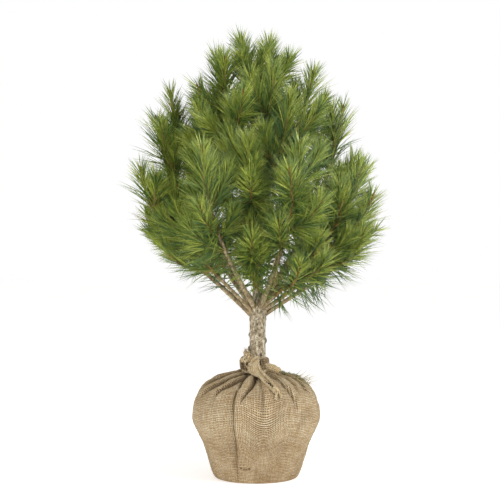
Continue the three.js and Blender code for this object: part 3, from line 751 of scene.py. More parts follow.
def makeYoungShoots():
    parts = []
    for index, line in enumerate(allLines):
        start = line.start if line.mass == "foliage_leader" else 0
        low = max(start, 1 - bark["barkFrom"] / line.path.length)
        step, sides = bark["youngStep"], bark["youngSides"]
        parts.append(barkTube(line.path, low, 1, line.radius, index + 50, step, sides, *bark["youngScars"]))
    barkPiece("young_shoots", parts, "young shoot rind, olive to orange brown",
              ("#a9884a", "#8f7a3f", "#6a5a32", "#7d5a34"), 2.0 * mm)


def makeBuds():
    # an ovoid resinous bud at every growing tip, smaller on side shoots and twigs
    parts = []
    marks = np.linspace(0, 1, 8)
    for line in allLines:
        size = (13, 10, 7)[line.order]
        bud = Path(line.path.at(1) + np.linspace(-2, size, 12)[:, None] * line.path.along(1.0))
        swell = np.sin(np.pi * np.clip(marks * 0.92 + 0.05, 0, 1)) ** 0.7 * size * 0.25
        corners, faces = tube(bud, marks, np.maximum(swell, 0.15)[:, None] * np.ones(8))
        parts.append((corners, faces, np.zeros(len(corners))))
    barkPiece("buds", parts, "bud scales, resinous red brown",
              ("#b98d5c", "#96653c", "#6d452a", "#6d452a"), 1.2 * mm)

makeTrunk()
makeBoughs()
makeYoungShoots()
makeBuds()

# bristles: one tree for needles, sheaths, frayed fibres, moss and straw


def bristleTree():
    # stands one bent, tapering bristle on every point, which brings its own aim, reach, girth and sag
    tree = newTree("bristles", [
        ("Sides", "NodeSocketInt", 3), ("Steps", "NodeSocketInt", 2), ("Fullness", "NodeSocketFloat", 0.82),
        ("Material", "NodeSocketMaterial", None),
    ])
    add = partial(addNode, tree)
    given = add("NodeGroupInput").node.outputs
    named = partial(add, "GeometryNodeInputNamedAttribute")
    aim, sag = [named({"Name": label}, data_type="FLOAT_VECTOR") for label in ("aim", "sag")]
    reach, girth, rise = [named({"Name": label}, data_type="FLOAT") for label in ("reach", "girth", "rise")]
    spike = add("GeometryNodeMeshCone", {
        "Vertices": given["Sides"], "Side Segments": given["Steps"],
        "Radius Top": 0.0, "Radius Bottom": 1.0, "Depth": 1.0,
    }, fill_type="NGON")
    place = add("ShaderNodeSeparateXYZ", {0: add("GeometryNodeInputPosition")}).node.outputs
    left = add("ShaderNodeMath", {0: 1.0, 1: place["Z"]}, operation="SUBTRACT")
    arch = add("ShaderNodeMath", {0: place["Z"], 1: left}, operation="MULTIPLY")
    fuller = add("ShaderNodeMath", {0: given["Fullness"], 1: 8.0, 2: -4.0}, operation="MULTIPLY_ADD")
    widen = add("ShaderNodeMath", {0: arch, 1: fuller, 2: 1.0}, operation="MULTIPLY_ADD")
    spread = add("ShaderNodeCombineXYZ", {"X": widen, "Y": widen, "Z": 1.0})
    wide = add("ShaderNodeVectorMath", {0: add("GeometryNodeInputPosition"), 1: spread}, operation="MULTIPLY")
    marked = add("GeometryNodeStoreNamedAttribute", {
        "Geometry": spike, "Name": "rise", "Value": place["Z"],
    }, data_type="FLOAT", domain="POINT")
    shaped = add("GeometryNodeSetPosition", {"Geometry": marked, "Position": wide})
    stood = add("GeometryNodeInstanceOnPoints", {
        "Points": given["Geometry"], "Instance": shaped,
        "Rotation": add("FunctionNodeAlignRotationToVector", {"Vector": aim}, axis="Z"),
        "Scale": add("ShaderNodeCombineXYZ", {"X": girth, "Y": girth, "Z": reach}),
    })
    real = add("GeometryNodeRealizeInstances", {"Geometry": stood})
    squared = add("ShaderNodeMath", {0: rise, 1: rise}, operation="MULTIPLY")
    bend = add("ShaderNodeVectorMath", {0: sag, "Scale": squared}, operation="SCALE")
    bent = add("GeometryNodeSetPosition", {"Geometry": real, "Offset": bend})
    finished = add("GeometryNodeSetMaterial", {"Geometry": bent, "Material": given["Material"]})
    add("NodeGroupOutput", {"Geometry": finished})
    return tree


bristles = bristleTree()
bristle = {"sides": 3, "fullness": 0.82}


def makeBristles(name, place, aim, reach, girth, sag, material, steps=2):
    # all lengths in mm; reach and girth are one number each or one for every bristle
    piece = meshPiece(name, place, [], attributes={
        "aim": aim, "reach": reach * np.ones(len(place)) * mm, "girth": girth * np.ones(len(place)) * mm,
        "sag": sag * mm,
    })
    piece = runTree(piece, bristles, {
        "Sides": bristle["sides"], "Steps": steps, "Fullness": bristle["fullness"], "Material": material,
    })
    for label in ("aim", "reach", "girth", "sag", "rise"):
        if label in piece.data.attributes:
            piece.data.attributes.remove(piece.data.attributes[label])
    return piece


needle = {
    "perBundle": 3,
    # bundles a mm, by mm behind the tip
    "density": [(0, 1.0), (50, 0.82), (150, 0.6), (260, 0.31), (400, 0.18), (620, 0.11)],
    "girth": 1.0,  # half a needle's width
    "young": 330,  # the needles stand closer along the shoot over this last part of it
    "splay": 3.2,  # between the needles of one bundle, in degrees
    "wander": 8,  # of a whole bundle off its place in the spiral
    "oldScatter": 12, "youngScatter": 6.5,  # of a bundle's angle to the shoot
    "tipAngle": 27, "tipLength": 56,  # the newest needles: a little wider and longer than in the source
    "closed": 0.7,  # the share of that angle at which they stand on the very tip
    "shortest": 0.66,
    "onTwigs": 0.85,  # the length on finer twigs, as a share
    "sag": 0.34, "recurve": 0.08, "stray": 0.045,
    "sprayStep": 6, "sprayTurn": 30,  # the patches that share one colour, in mm along and degrees round
    "sheath": 9, "sheathGirth": 1.0,
    "sheathFrom": 230,  # no sheaths are left on wood farther behind the tip
    "edgeThin": 0.55,  # the share of the bundles left out where they reach past the crown's edge
    "edgeFrom": -15, "edgeTo": 35,  # the mm past the edge over which that share is reached
    "topFrom": 1030, "topTo": 1110,  # the crown's top isn't thinned
    "rightLift": 20, "rightFrom": 40, "rightTo": 130,  # the crown's underside is higher on the right
    "underLowest": 6,  # a tip may hang this far below the underside
    "trunkClear": 16, "trunkClearTo": 800,  # no needle ends inside the trunk
    "pieceLimit": 19000,
}
needleKinds = [
    # name, colour, lighter colour, weights for young, middle and old wood
    ("needles_bright", "#98a73d", "#b8c160", (0.32, 0.1, 0.02)),
    ("needles_fresh", "#7d9038", "#97a64f", (0.36, 0.28, 0.14)),
    ("needles_green", "#637a35", "#7a9049", (0.24, 0.34, 0.34)),
    ("needles_deep", "#476333", "#5a7744", (0.08, 0.26, 0.42)),
    ("needles_straw", "#a5884c", "#bda264", (0.0, 0.02, 0.08)),
]
hanging = {
    "stems": ("stem_right_low", "stem_front_right_low", "stem_right_mid"),
    "bundles": 17, "stretch": 120, "length": 84,
}


def placeBundles(line, rng):
    # how far behind the tip each bundle stands, thickest at the growing end
    step = 2.0
    marks = np.arange(0, line.length - 2 * step, step)
    many = np.interp(marks, *np.transpose(needle["density"]))
    total = np.concatenate([[0], np.cumsum(many * step)])
    count = int(total[-1])
    wanted = (np.arange(count) + rng.uniform(0.2, 0.8, count)) / count * total[-1]
    return np.interp(wanted, total, np.concatenate([[0], marks + step]))


def toNeedles(values):
    # one value a bundle, given to each of its needles
    return np.repeat(values, needle["perBundle"], axis=0)


def needleKind(behind, turn, index):
    # a colour for every needle, the same within a small patch of a shoot, by the wood's age
    patch = np.floor(behind / needle["sprayStep"]) * 11 + np.floor(turn % 360 / needle["sprayTurn"])
    luck = chance(patch, index * 1.7 + 3)
    old = smooth(behind, 20, 120) + smooth(behind, 150, 330)
    parts = np.stack([np.interp(old, [0, 1, 2], weights) for *_, weights in needleKinds], axis=1)
    limits = np.cumsum(parts / parts.sum(1, keepdims=True), axis=1)
    return np.minimum((luck[:, None] > limits).sum(1), len(needleKinds) - 1)


def growNeedles():
    grown, sheaths = [], []
    for index, line in enumerate(allLines):
        rng = np.random.default_rng(index + 11)
        bundle = placeBundles(line, rng)
        many = len(bundle)
        behind = toNeedles(bundle)
        count = len(behind)
        turn = goldenAngle * toNeedles(np.arange(many)) + toNeedles(rng.normal(0, needle["wander"], many))
        share = line.share(behind)
        youth = 1 - smooth(behind, 0, spray["young"])
        angle = lerp(spray["oldAngle"], needle["tipAngle"], (1 - smooth(behind, 0, needle["young"])) ** 0.55)
        angle = lerp(angle * needle["closed"], angle, smooth(behind, -6, 14))
        angle += toNeedles(rng.normal(0, 1, many)) * lerp(needle["oldScatter"], needle["youngScatter"], youth)
        radians = np.radians(np.clip(angle, 2, 104))[:, None]
        along, across = line.path.along(share), line.path.across(share, turn)
        aim = along * np.cos(radians) + across * np.sin(radians)
        aim[:, 2] += spray["droop"] * (youth - 0.75)
        place = line.path.at(share) + across * (line.radius(share) * 0.6)[:, None]
        sheathed = np.arange(0, count, needle["perBundle"])[bundle < needle["sheathFrom"]]
        sheaths.append((place[sheathed], unit(aim[sheathed])))
        aim = unit(aim + rng.normal(0, math.radians(needle["splay"]), (count, 3)))
        reach = lerp(needle["tipLength"], spray["length"], smooth(behind, 0, spray["lengthens"]))
        reach *= lerp(needle["shortest"], 1, toNeedles(rng.random(many)))
        reach *= rng.uniform(0.94, 1.06, count)
        reach *= needle["onTwigs"] if line.order == 2 else 1
        level = np.hypot(aim[:, 0], aim[:, 1])
        sag = np.zeros((count, 3))
        sag[:, 2] = -reach * needle["sag"] * (1 - youth) * level * rng.uniform(0.4, 1.2, count)
        sag += across * (reach * youth * needle["recurve"] * rng.uniform(-0.4, 1.6, count))[:, None]
        sag += rng.normal(0, 1, (count, 3)) * (reach * needle["stray"])[:, None]
        # none below the crown's underside or in the trunk, and fewer past the crown's edge except at its top
        tip = place + aim * reach[:, None] + sag
        height = tip[:, 2]
        onRight = smooth(tip[:, 0], needle["rightFrom"], needle["rightTo"])
        lowest = lowestAt(tip) + needle["rightLift"] * onRight
        inside = np.hypot(tip[:, 0] - plant["start"], tip[:, 1]) < needle["trunkClear"]
        inside &= height < needle["trunkClearTo"]
        past = smooth(np.hypot(tip[:, 0], tip[:, 1]) - edgeAt(height), needle["edgeFrom"], needle["edgeTo"])
        thin = needle["edgeThin"] * past * (1 - smooth(height, needle["topFrom"], needle["topTo"]))
        kept = (lowest - height < needle["underLowest"]) & ~inside & (toNeedles(rng.random(many)) > thin)
        kind = needleKind(behind, turn, index)
        girth = needle["girth"] * rng.uniform(0.85, 1.15, count)
        grown.append([values[kept] for values in (place, aim, reach, girth, sag, kind)])
    return merged(grown), merged(sheaths)


def hangNeedles():
    # long old needles that hang from the undersides of the lowest boughs on the right
    grown = []
    many = hanging["bundles"]
    count = many * needle["perBundle"]
    for index, line in enumerate(allLines):
        if line.name not in hanging["stems"]:
            continue
        rng = np.random.default_rng(index + 301)
        share = line.start + toNeedles(rng.uniform(0, hanging["stretch"] / line.path.length, many))
        along = line.path.along(share)
        aim = along * 0.35 - np.array([0, 0, 1]) + toNeedles(rng.normal(0, 0.34, (many, 3)))
        aim = unit(unit(aim) + rng.normal(0, 0.06, (count, 3)))
        reach = hanging["length"] * rng.uniform(0.7, 1.05, count)
        sag = rng.normal(0, 0.07, (count, 3)) * reach[:, None] + along * 0.12 * reach[:, None]
        kind = np.where(rng.random(count) < 0.6, 3, 2)
        grown.append((line.path.at(share), aim, reach, np.full(count, needle["girth"]), sag, kind))
    return merged(grown)


def twoTone(name, low, high, patch, inputs):
    # plant fibre in two close tones that change in small patches
    material, tree, shader = newMaterial(name, inputs)
    add = partial(addNode, tree)
    place = add("ShaderNodeTexCoord", output="Object")
    tone = add("ShaderNodeTexNoise", {"Vector": place, "Scale": 1 / patch, "Detail": 2})
    share = add("ShaderNodeMapRange", {0: tone, 1: 0.4, 2: 0.62})
    mixed = add("ShaderNodeMix", {0: share, 6: linear(low), 7: linear(high)}, **blend)
    tree.links.new(mixed, shader.inputs["Base Color"])
    return material


def makeNeedles():
    grown, (sheathPlace, sheathAim) = growNeedles()
    place, aim, reach, girth, sag, kind = merged([grown, hangNeedles()])
    print("needles:", len(place), "sheaths:", len(sheathPlace))
    papery = twoTone("needle sheaths, papery orange brown", "#8a5f33", "#bd8f50", 4 * mm, {
        "Roughness": 0.8, "IOR": 1.45,
    })
    straight = np.zeros_like(sheathAim)
    piece = makeBristles("needle_sheaths", sheathPlace + shift, sheathAim, needle["sheath"],
                         needle["sheathGirth"], straight, papery, steps=1)
    settle(piece, [], "foliage")
    foliage = sorted(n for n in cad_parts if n.startswith("foliage_"))
    for number, (name, base, light, _) in enumerate(needleKinds):
        # waxy needles: a soft gloss that catches the light along their length
        waxy = {"Roughness": 0.42, "IOR": 1.46}
        waxy = twoTone(name.replace("_", " ") + ", waxy", base, light, 9 * mm, waxy)
        chosen = np.flatnonzero(kind == number)
        pieces = int(np.ceil(len(chosen) / needle["pieceLimit"]))
        for part in range(pieces):
            own = chosen[part::pieces]
            piece = makeBristles(f"{name}_{part + 1}" if pieces > 1 else name, place[own] + shift, aim[own],
                                 reach[own], girth[own], sag[own], waxy)
            settle(piece, [], "foliage", *foliage)


makeNeedles()

# the burlap wrap: ball, gathered neck and ruffled rim in one cloth
wrap = {
    "columns": 400, "ballStep": 2.5, "neckStep": 1.3,
    "refRadius": 165,  # cloth width is measured on a circle of this radius
    "thread": 4.3,  # one thread and its gap; real burlap is finer, and this is as coarse as needed to show
    "wobble": 3.2, "lump": 2.6, "wrinkle": 0.8, "neckCrumple": 2.4,
    "gathers": 23, "gatherDepth": 7.5,
    "gatherFrom": 128,  # the gathers run in from this distance
    "ruffles": 9, "ruffleDepth": 4.5,
    "slimmer": 0.26,  # the neck is drawn in by this share under the roll
    "tuftAzimuth": 190, "tuftRise": 8, "rimDrop": 9,
    "slump": 32, "slack": 0.6,  # of the weft at the front
}
# the wrap's outline from the rim of the underside up to the tie, and on over the ruffle: (radius, height)
ballOutline = [
    (99, 0), (112, 9), (137, 82), (162, 140), (165, 172),
    (158, 205), (140, 233), (110, 256), (76, 265.5), (55, 268.5), (43, 271),
]
neckOutline = [
    (43, 271), (35.5, 274), (33.5, 277), (35, 283), (36.5, 290), (36.5, 297),
    (35, 303), (33, 305), (31, 303), (29, 298), (28, 290),
]
# folds where the cloth laps over itself: azimuth at its lower end and at the tie, depth, lip, the lower end's
# height as a share of the ball's, and the side that laps over
folds = [
    (160, 168, 7, 5, 0.8, -1), (184, 204, 12, 10, 0.84, -1), (204, 226, 13, 11, 0.8, -1),
    (225, 243, 13, 10, 0.81, -1), (249, 251, 6, 6, 0.02, 1), (257, 267, 11, 6, 0.78, -1),
    (277, 276, 2.5, 4, 0.64, 1), (290, 286, 5, 4, 0.86, 1), (307, 304, 4, 8, 0.7, 1),
    (318, 322, 5, 4, 0.84, 1), (334, 338, 7, 5, 0.8, 1), (352, 350, 5, 3, 0.86, 1),
    (8, 6, 6, 4, 0.7, 1), (33, 30, 6, 5, 0.1, 1), (57, 62, 5, 3, 0.8, 1),
    (84, 80, 7, 4, 0.66, 1), (112, 110, 5, 5, 0.12, 1), (138, 144, 7, 5, 0.78, 1),
]
# small holes low on the front, drawn only as painted shade: azimuth, height, size
stitchHoles = [(252.5, 43, 2.2), (255.7, 40.5, 1.8), (258.2, 39, 1.8), (261.6, 40.5, 2.6)]


def wrapProfile():
    # evenly spaced rings, as radius and height, the direction square to the cloth, and the distance along it
    rings = []
    for corners, step in ((ballOutline, wrap["ballStep"]), (neckOutline, wrap["neckStep"])):
        line = through(corners, 600)
        reached = distances(line)
        marks = np.linspace(0, reached[-1], int(reached[-1] / step))
        rings.append(np.stack([np.interp(marks, reached, line[:, k]) for k in (0, 1)], axis=1))
    rings = np.concatenate([rings[0], rings[1][1:]])
    slope = unit(np.gradient(rings, axis=0))
    return rings, np.stack([slope[:, 1], -slope[:, 0]], axis=1), distances(rings)


def foldHeights(azimuth, rings, tie):
    # how far the cloth stands out of its outline at every ring and column
    height, radius = rings[:, 1][:, None], rings[:, 0][:, None]
    level = height / ballOutline[-2][1]
    onBall = np.arange(len(rings))[:, None] < tie
    out = np.zeros((len(rings), len(azimuth)))
    slits = np.zeros_like(out)
    for number, (lowEnd, atTie, depth, lip, low, side) in enumerate(folds):
        middle = lerp(lowEnd, atTie, smooth(level, max(low, 0.5), 1))
        middle = middle + 1.5 * np.sin(level * 8 + number) * (level < 0.9)
        span = np.radians(offBy(azimuth[None, :], middle)) * np.maximum(radius, 45) * side
        shown = smooth(level, low - 0.04, low + 0.09) * onBall
        sharp = lerp(0.35, 1, smooth(level, 0.45, 0.88))
        slit = np.exp(-(span / lerp(3, 6, smooth(height, 225, 262))) ** 2)
        lapped = np.where(span > 0, np.exp(-span / 16), 0) * (1 - np.exp(-(span / 2.6) ** 2))
        sunk = np.where(span < 0, np.exp(span / 12), 0)
        out += shown * (lip * lapped - sharp * depth * slit - 0.45 * lip * sunk)
        # where each slit gets painted shade
        slits = np.maximum(slits, shown * sharp * slit * min(depth / 13, 1))
    turn = np.radians(azimuth)[None, :]
    wave = 0.8 * np.sin(turn * 3 + 1) + 0.5 * np.sin(turn * 7 + 2)
    gathered = np.abs(np.sin(turn * wrap["gathers"] / 2 + wave)) - 0.6
    towardsTie = smooth(radius, wrap["gatherFrom"], 44) * onBall * smooth(height, 215, 258)
    out += wrap["gatherDepth"] * gathered * towardsTie * (0.55 + 0.45 * np.sin(turn * 4 + 0.4))
    loose = smooth(height, 278, 292) * ~onBall
    out += 1.6 * gathered * ~onBall * (1 - loose)
    bunched = turn * wrap["ruffles"] / 2 + wave * 1.3 + height * 0.03
    out += wrap["ruffleDepth"] * (np.abs(np.sin(bunched)) - 0.55) * loose * (0.7 + 0.5 * np.sin(turn * 2 + 2))
    return out, slits


def clothNoise(places, size, seed, stretch=1.0):
    flat = (places * np.array([1, 1, stretch]) / size + seed).reshape(-1, 3)
    return np.array([noise.noise(Vector(p)) for p in flat]).reshape(places.shape[:-1])


def clothUv(azimuths, reached, heights):
    # cloth coordinates in mm: across by azimuth, along by distance, the weft sagging in arcs at the front
    slump = smooth(heights, 0, 110) * (1 - smooth(heights, 120, 262))
    sagging = near(azimuths, 277, 20)[None, :] ** 0.6 * slump[:, None]
    across = np.broadcast_to(np.radians(azimuths) * wrap["refRadius"], sagging.shape)
    return np.stack([across, reached[:, None] + wrap["slump"] * sagging], axis=-1)


def wrapMarks(azimuth, rings, onBall, out, slits):
    # how much painted shade each corner gets in a fold or a hole, and how slack the warp is there
    # painted shade: darkest in the fold slits and dents, a quarter as strong above the tie
    hollow = np.clip(np.maximum(-out / 10, slits), 0, 0.85) * np.where(onBall, 1, 0.25)
    # each hole is painted dark as shade, not cut
    for middle, height, size in stitchHoles:
        off = np.radians(offBy(azimuth, middle))[None, :] * rings[:, 0][:, None]
        hole = np.exp(-((rings[:, 1][:, None] - height) / (0.75 * size)) ** 2 - (off / size) ** 2)
        hollow = np.maximum(hollow, 2 * hole)
    loosened = smooth(rings[:, 1], 60, 110) * (1 - smooth(rings[:, 1], 150, 205))
    return hollow, wrap["slack"] * near(azimuth, 275, 22)[None, :] * loosened[:, None]


def makeWrap():
    rings, outward, reached = wrapProfile()
    tie = int(np.argmin(np.where(rings[:, 1] > 270, rings[:, 0], 1e9)))
    columns = wrap["columns"]
    azimuth = np.arange(columns) * 360 / columns
    spokes, up = towards(azimuth, 0)[None], np.array([0, 0, 1])
    drawnIn = 1 - wrap["slimmer"] * smooth(rings[:, 1], 280, 296)[:, None] * near(azimuth, 338, 95)[None, :]
    base = spokes * (rings[:, 0][:, None] * drawnIn)[:, :, None] + up * rings[:, 1][:, None, None]
    onBall = (np.arange(len(rings)) < tie)[:, None]
    out, slits = foldHeights(azimuth, rings, tie)
    lumps = clothNoise(base, 62, 0) + 0.5 * clothNoise(base, 25, 7)
    out += wrap["lump"] * lumps * onBall + wrap["wrinkle"] * clothNoise(base, 13, 3, 2.2)
    out += wrap["neckCrumple"] * clothNoise(base, 17, 11) * ~onBall
    out *= smooth(rings[:, 1], 0, 10)[:, None]
    normal = spokes * outward[:, 0][:, None, None] + up * outward[:, 1][:, None, None]
    corners = base + normal * out[:, :, None]
    # the rim stands highest on the left and dips elsewhere
    raised = smooth(rings[:, 1], 283, 300)[:, None] * ~onBall
    tuft = near(azimuth, wrap["tuftAzimuth"], 75)[None, :]
    rim = 2.4 * np.sin(np.radians(azimuth) * 5 + 1) + 1.6 * np.sin(np.radians(azimuth) * 13)
    corners[..., 2] += raised * (wrap["tuftRise"] * tuft - wrap["rimDrop"] * (1 - tuft) + rim[None, :])
    corners[..., 0] += shift[0] * smooth(rings[:, 1], 255, 272)[:, None]
    # the flat underside: two rings and a fan of triangles to its middle
    foot = np.array([[towards(a, 0) * r for a in azimuth] for r in (34, 68)])
    allRings = np.concatenate([foot, corners])
    count = len(allRings)
    points = np.concatenate([allRings.reshape(-1, 3), [[0, 0, 0]]])
    quads = gridFaces(count, columns, True)
    turn = np.arange(columns)
    fan = np.stack([np.full(columns, count * columns), (turn + 1) % columns, turn], axis=1)
    cloth = clothUv(np.arange(columns + 1) * 360 / columns, np.concatenate([[-65, -31], reached]),
                    np.concatenate([[0, 0], rings[:, 1]]))
    uv = np.stack([cloth[:-1, :-1], cloth[:-1, 1:], cloth[1:, 1:], cloth[1:, :-1]], axis=2).reshape(-1, 2)
    fanUv = np.stack([np.full((2, columns), -99), cloth[0, 1:].T, cloth[0, :-1].T]).transpose(2, 0, 1)
    marks = wrapMarks(azimuth, rings, onBall, out, slits)
    hollow, slack = [np.concatenate([np.zeros(2 * columns), values.ravel(), [0]]) for values in marks]
    uv = np.concatenate([uv, fanUv.reshape(-1, 2)]) * mm
    piece = meshPiece("burlap_wrap", points, quads.tolist() + fan.tolist(), uv=uv,
                      attributes={"hollow": hollow, "slack": slack})
    aboveTie = np.concatenate([np.repeat(np.arange(count - 1) > tie + 2, columns), np.zeros(columns, bool)])
    # the cloth above the tie takes the paler copy, painted light
    piece.data.polygons.foreach_set("material_index", aboveTie.astype(int))
    settle(piece, [burlap, paintedLitBurlap], "burlap", "root_ball", "burlap_neck")
    return rings, out


def burlapMaterial(name, dull, pale, between):
    # jute burlap: a plain weave of uneven hairy threads, dark where the weave opens, with painted shade in
    # the folds and holes
    material, tree, shader = newMaterial(name, {
        "Roughness": 0.95, "IOR": 1.45, "Specular IOR Level": 0.2,
        "Sheen Weight": 0.12, "Sheen Roughness": 0.6, "Sheen Tint": linear("#e2cfa6"),
    })
    add = partial(addNode, tree)
    cloth = add("ShaderNodeUVMap", uv_map="UVMap")
    wobble = add("ShaderNodeTexNoise", {"Vector": cloth, "Scale": 1 / (16 * mm), "Detail": 2}, output="Color")
    aside = add("ShaderNodeVectorMath", {0: wobble, 1: (0.5, 0.5, 0.5)}, operation="SUBTRACT")
    stretched = {0: aside, 1: (wrap["wobble"] * mm,) * 3, 2: cloth}
    moved = add("ShaderNodeVectorMath", stretched, operation="MULTIPLY_ADD")
    counted = add("ShaderNodeVectorMath", {0: moved, "Scale": 1 / (wrap["thread"] * mm)}, operation="SCALE")
    parts = add("ShaderNodeSeparateXYZ", {0: counted}).node.outputs
    # threads one way and the other, highest along their middles, with a hole where four of them meet
    warp, weft = [add("ShaderNodeMath", {0: parts[way], 1: 0.5}, operation="PINGPONG") for way in ("X", "Y")]
    even = add("ShaderNodeMath", {0: warp, 1: weft}, operation="MAXIMUM")
    slack = add("ShaderNodeAttribute", output="Fac", attribute_name="slack")
    # slack cloth shows its weft more than its warp
    height = add("ShaderNodeMix", {0: slack, 2: even, 3: weft}, data_type="FLOAT")
    # slubs: each thread is paler or darker over a stretch of its own length
    along = add("ShaderNodeMapping", {"Vector": counted, "Scale": (0.9, 0.1, 1)})
    across = add("ShaderNodeMapping", {"Vector": counted, "Scale": (0.1, 0.9, 1)})
    slubs = [add("ShaderNodeTexNoise", {"Vector": way, "Scale": 1.0, "Detail": 1}) for way in (along, across)]
    slub = add("ShaderNodeMath", {0: slubs[0], 1: slubs[1]}, operation="ADD")
    tone = add("ShaderNodeMapRange", {0: slub, 1: 0.75, 2: 1.25})
    fibre = add("ShaderNodeTexNoise", {"Vector": cloth, "Scale": 1 / (2.6 * mm), "Detail": 3})
    grain = add("ShaderNodeMapRange", {0: fibre, 1: 0.42, 2: 0.62, 3: 0.0, 4: 0.8})
    thread = add("ShaderNodeMix", {0: tone, 6: linear(dull), 7: linear(pale)}, **blend)
    mottled = add("ShaderNodeMix", {0: grain, 6: thread, 7: linear("#a58b62")}, **blend)
    shown = add("ShaderNodeMapRange", {0: height, 1: 0.16, 2: 0.44})
    woven = add("ShaderNodeMix", {0: shown, 6: linear(between), 7: mottled}, **blend)
    soiled = add("ShaderNodeTexNoise", {"Vector": cloth, "Scale": 1 / (70 * mm), "Detail": 3})
    stain = add("ShaderNodeMapRange", {0: soiled, 1: 0.42, 2: 0.62, 3: 0.0, 4: 0.2})
    above = add("ShaderNodeSeparateXYZ", {0: add("ShaderNodeTexCoord", output="Object")}).node.outputs["Z"]
    # darker towards the foot
    foot = add("ShaderNodeMapRange", {0: above, 1: 0.0, 2: 130 * mm, 3: 0.26, 4: 0.0})
    stain = add("ShaderNodeMath", {0: stain, 1: foot}, operation="ADD")
    stained = {0: stain, 6: woven, 7: linear("#a98752")}
    stained = add("ShaderNodeMix", stained, blend_type="MULTIPLY", **blend)
    # painted shade in the folds and holes, mixed towards a dark brown
    hollow = add("ShaderNodeAttribute", output="Fac", attribute_name="hollow")
    dark = add("ShaderNodeMath", {0: hollow, 1: 0.92}, operation="MINIMUM")
    withPaintedShade = add("ShaderNodeMix", {0: dark, 6: stained, 7: linear("#4a3a26")}, **blend)
    tree.links.new(withPaintedShade, shader.inputs["Base Color"])
    raised = add("ShaderNodeMath", {0: fibre, 1: 0.3, 2: height}, operation="MULTIPLY_ADD")
    bump = add("ShaderNodeBump", {"Strength": 0.8, "Distance": 1.6 * mm, "Height": raised})
    tree.links.new(bump, shader.inputs["Normal"])
    return material


burlap = burlapMaterial("jute burlap, plain weave", "#c6ac84", "#f5e5c5", "#5c4830")
# painted light: the loose ends above the tie are painted paler, lifting the shade the crown casts on the neck
paintedLitBurlap = burlapMaterial("jute burlap, sun-bleached end", "#ecd3a3", "#fff3d6", "#86704c")
wrapRings, wrapOut = makeWrap()


def onWrap(azimuth, ring, off=0.0):
    # a place on the finished wrap, by azimuth and ring number
    column = int(azimuth / 360 * wrap["columns"]) % wrap["columns"]
    radius, height = wrapRings[ring]
    return spot(azimuth, radius + wrapOut[ring, column] + off, height)


# the rolled end of the cloth, and its crumpled corner beside the trunk
roll = {
    "azimuth": 326, "start": (18, 283), "bend": (48, 288), "end": (71, 273),  # distance from the axis, height
    "radius": 12.5, "endRadius": 10.5, "turns": 1.7, "layer": 2.6, "twist": 170, "ridge": 0.5,
    "rows": 48, "columns": 100,
}
corner = {
    "from": 148, "to": 296, "foot": 276, "top": 326, "radius": 30, "lean": 12, "ruffle": 3, "crumple": 4.6,
    "thickness": 1.3, "rows": 44, "columns": 150,
    # share of the way round, share of the height
    "tops": ((0, 0), (0.12, 0.7), (0.27, 1), (0.5, 0.8), (0.68, 0.5), (0.86, 0.32), (1, 0)),
}


def clothSheet(name, grid, cloth):
    # a thin sheet from a grid of places, given its thickness by a modifier
    rows, columns = grid.shape[:2]
    quads = gridFaces(rows, columns, False)
    # the sheets get no painted shade
    piece = meshPiece(name, grid.reshape(-1, 3), quads.tolist(), uv=cloth.reshape(-1, 2)[quads.ravel()] * mm,
                      attributes={"hollow": np.zeros(rows * columns)})
    thick = piece.modifiers.new("thickness", "SOLIDIFY")
    thick.thickness = corner["thickness"] * mm
    thick.offset = 0
    bpy.context.view_layer.update()
    piece.data = bpy.data.meshes.new_from_object(piece.evaluated_get(bpy.context.evaluated_depsgraph_get()))
    piece.modifiers.clear()
    # the sheets above the tie take the paler copy, painted light
    settle(piece, [paintedLitBurlap], "burlap")


def makeRoll():
    path = bezier(*[spot(roll["azimuth"], *roll[end]) + shift for end in ("start", "bend", "end")])
    marks = np.linspace(0, 1, roll["rows"])[:, None]
    turn = np.linspace(0, 360 * roll["turns"], roll["columns"])[None, :]
    inner = (1 - turn / turn.max()) * roll["layer"] * roll["turns"]
    radius = lerp(roll["radius"], roll["endRadius"], marks) - inner
    twisted = np.radians(turn * 3 + roll["twist"] * marks)
    radius = radius + roll["ridge"] * np.sin(twisted) + 0.8 * np.sin(marks * 23 + np.radians(turn) * 2)
    radius = np.maximum(radius * (1 - 0.3 * smooth(marks, 0.86, 1)), 1)
    ways = np.stack([path.across(marks[:, 0], np.full(len(marks), a + 150)) for a in turn[0]], axis=1)
    grid = path.at(marks[:, 0])[:, None, :] + ways * radius[:, :, None]
    cloth = np.stack(np.broadcast_arrays(turn / 6, marks * path.length), axis=-1)
    clothSheet("burlap_roll", grid, cloth)


def makeCorner():
    turn = np.linspace(corner["from"], corner["to"], corner["columns"])[None, :]
    level = np.linspace(0, 1, corner["rows"])[:, None]
    side = (turn - corner["from"]) / (corner["to"] - corner["from"])
    shape = np.interp(side, *np.transpose(corner["tops"]))
    wave = np.sin(np.radians(turn) * 15 + 1.6 * np.sin(level * 5))
    wave = wave + 0.6 * np.sin(np.radians(turn) * 29 + 2 + level * 4)
    radius = corner["radius"] + 10 * smooth(level, 0, 0.4) * shape - corner["lean"] * smooth(level, 0.5, 1)
    radius = radius + corner["ruffle"] * wave * smooth(level, 0.05, 0.5)
    rise = (corner["top"] - corner["foot"]) * level * (0.3 + 0.7 * shape)
    height = corner["foot"] + rise + 3 * np.sin(turn * 0.7) * level
    grid = towards(turn, 0) * radius[..., None] + height[..., None] * np.array([0, 0, 1]) + shift
    crumple = clothNoise(grid, 15, 5) + 0.5 * clothNoise(grid, 7, 8)
    outwards = unit(grid * np.array([1, 1, 0]))
    grid += outwards * (corner["crumple"] * crumple * smooth(level, 0, 0.3))[..., None]
    cloth = np.stack(np.broadcast_arrays(np.radians(turn) * 45, level * 48.0), axis=-1)
    clothSheet("burlap_corner", grid, cloth)
    return grid


makeRoll()
cornerGrid = makeCorner()

# the twine that ties the neck
twine = {
    "ply": 2.3, "lay": 16,  # a ply's radius, and the length of one turn of the two plies
    "coils": 1.6, "coilFrom": 262, "coilRise": 4, "coilRadius": 38, "tieHeight": 273,
}
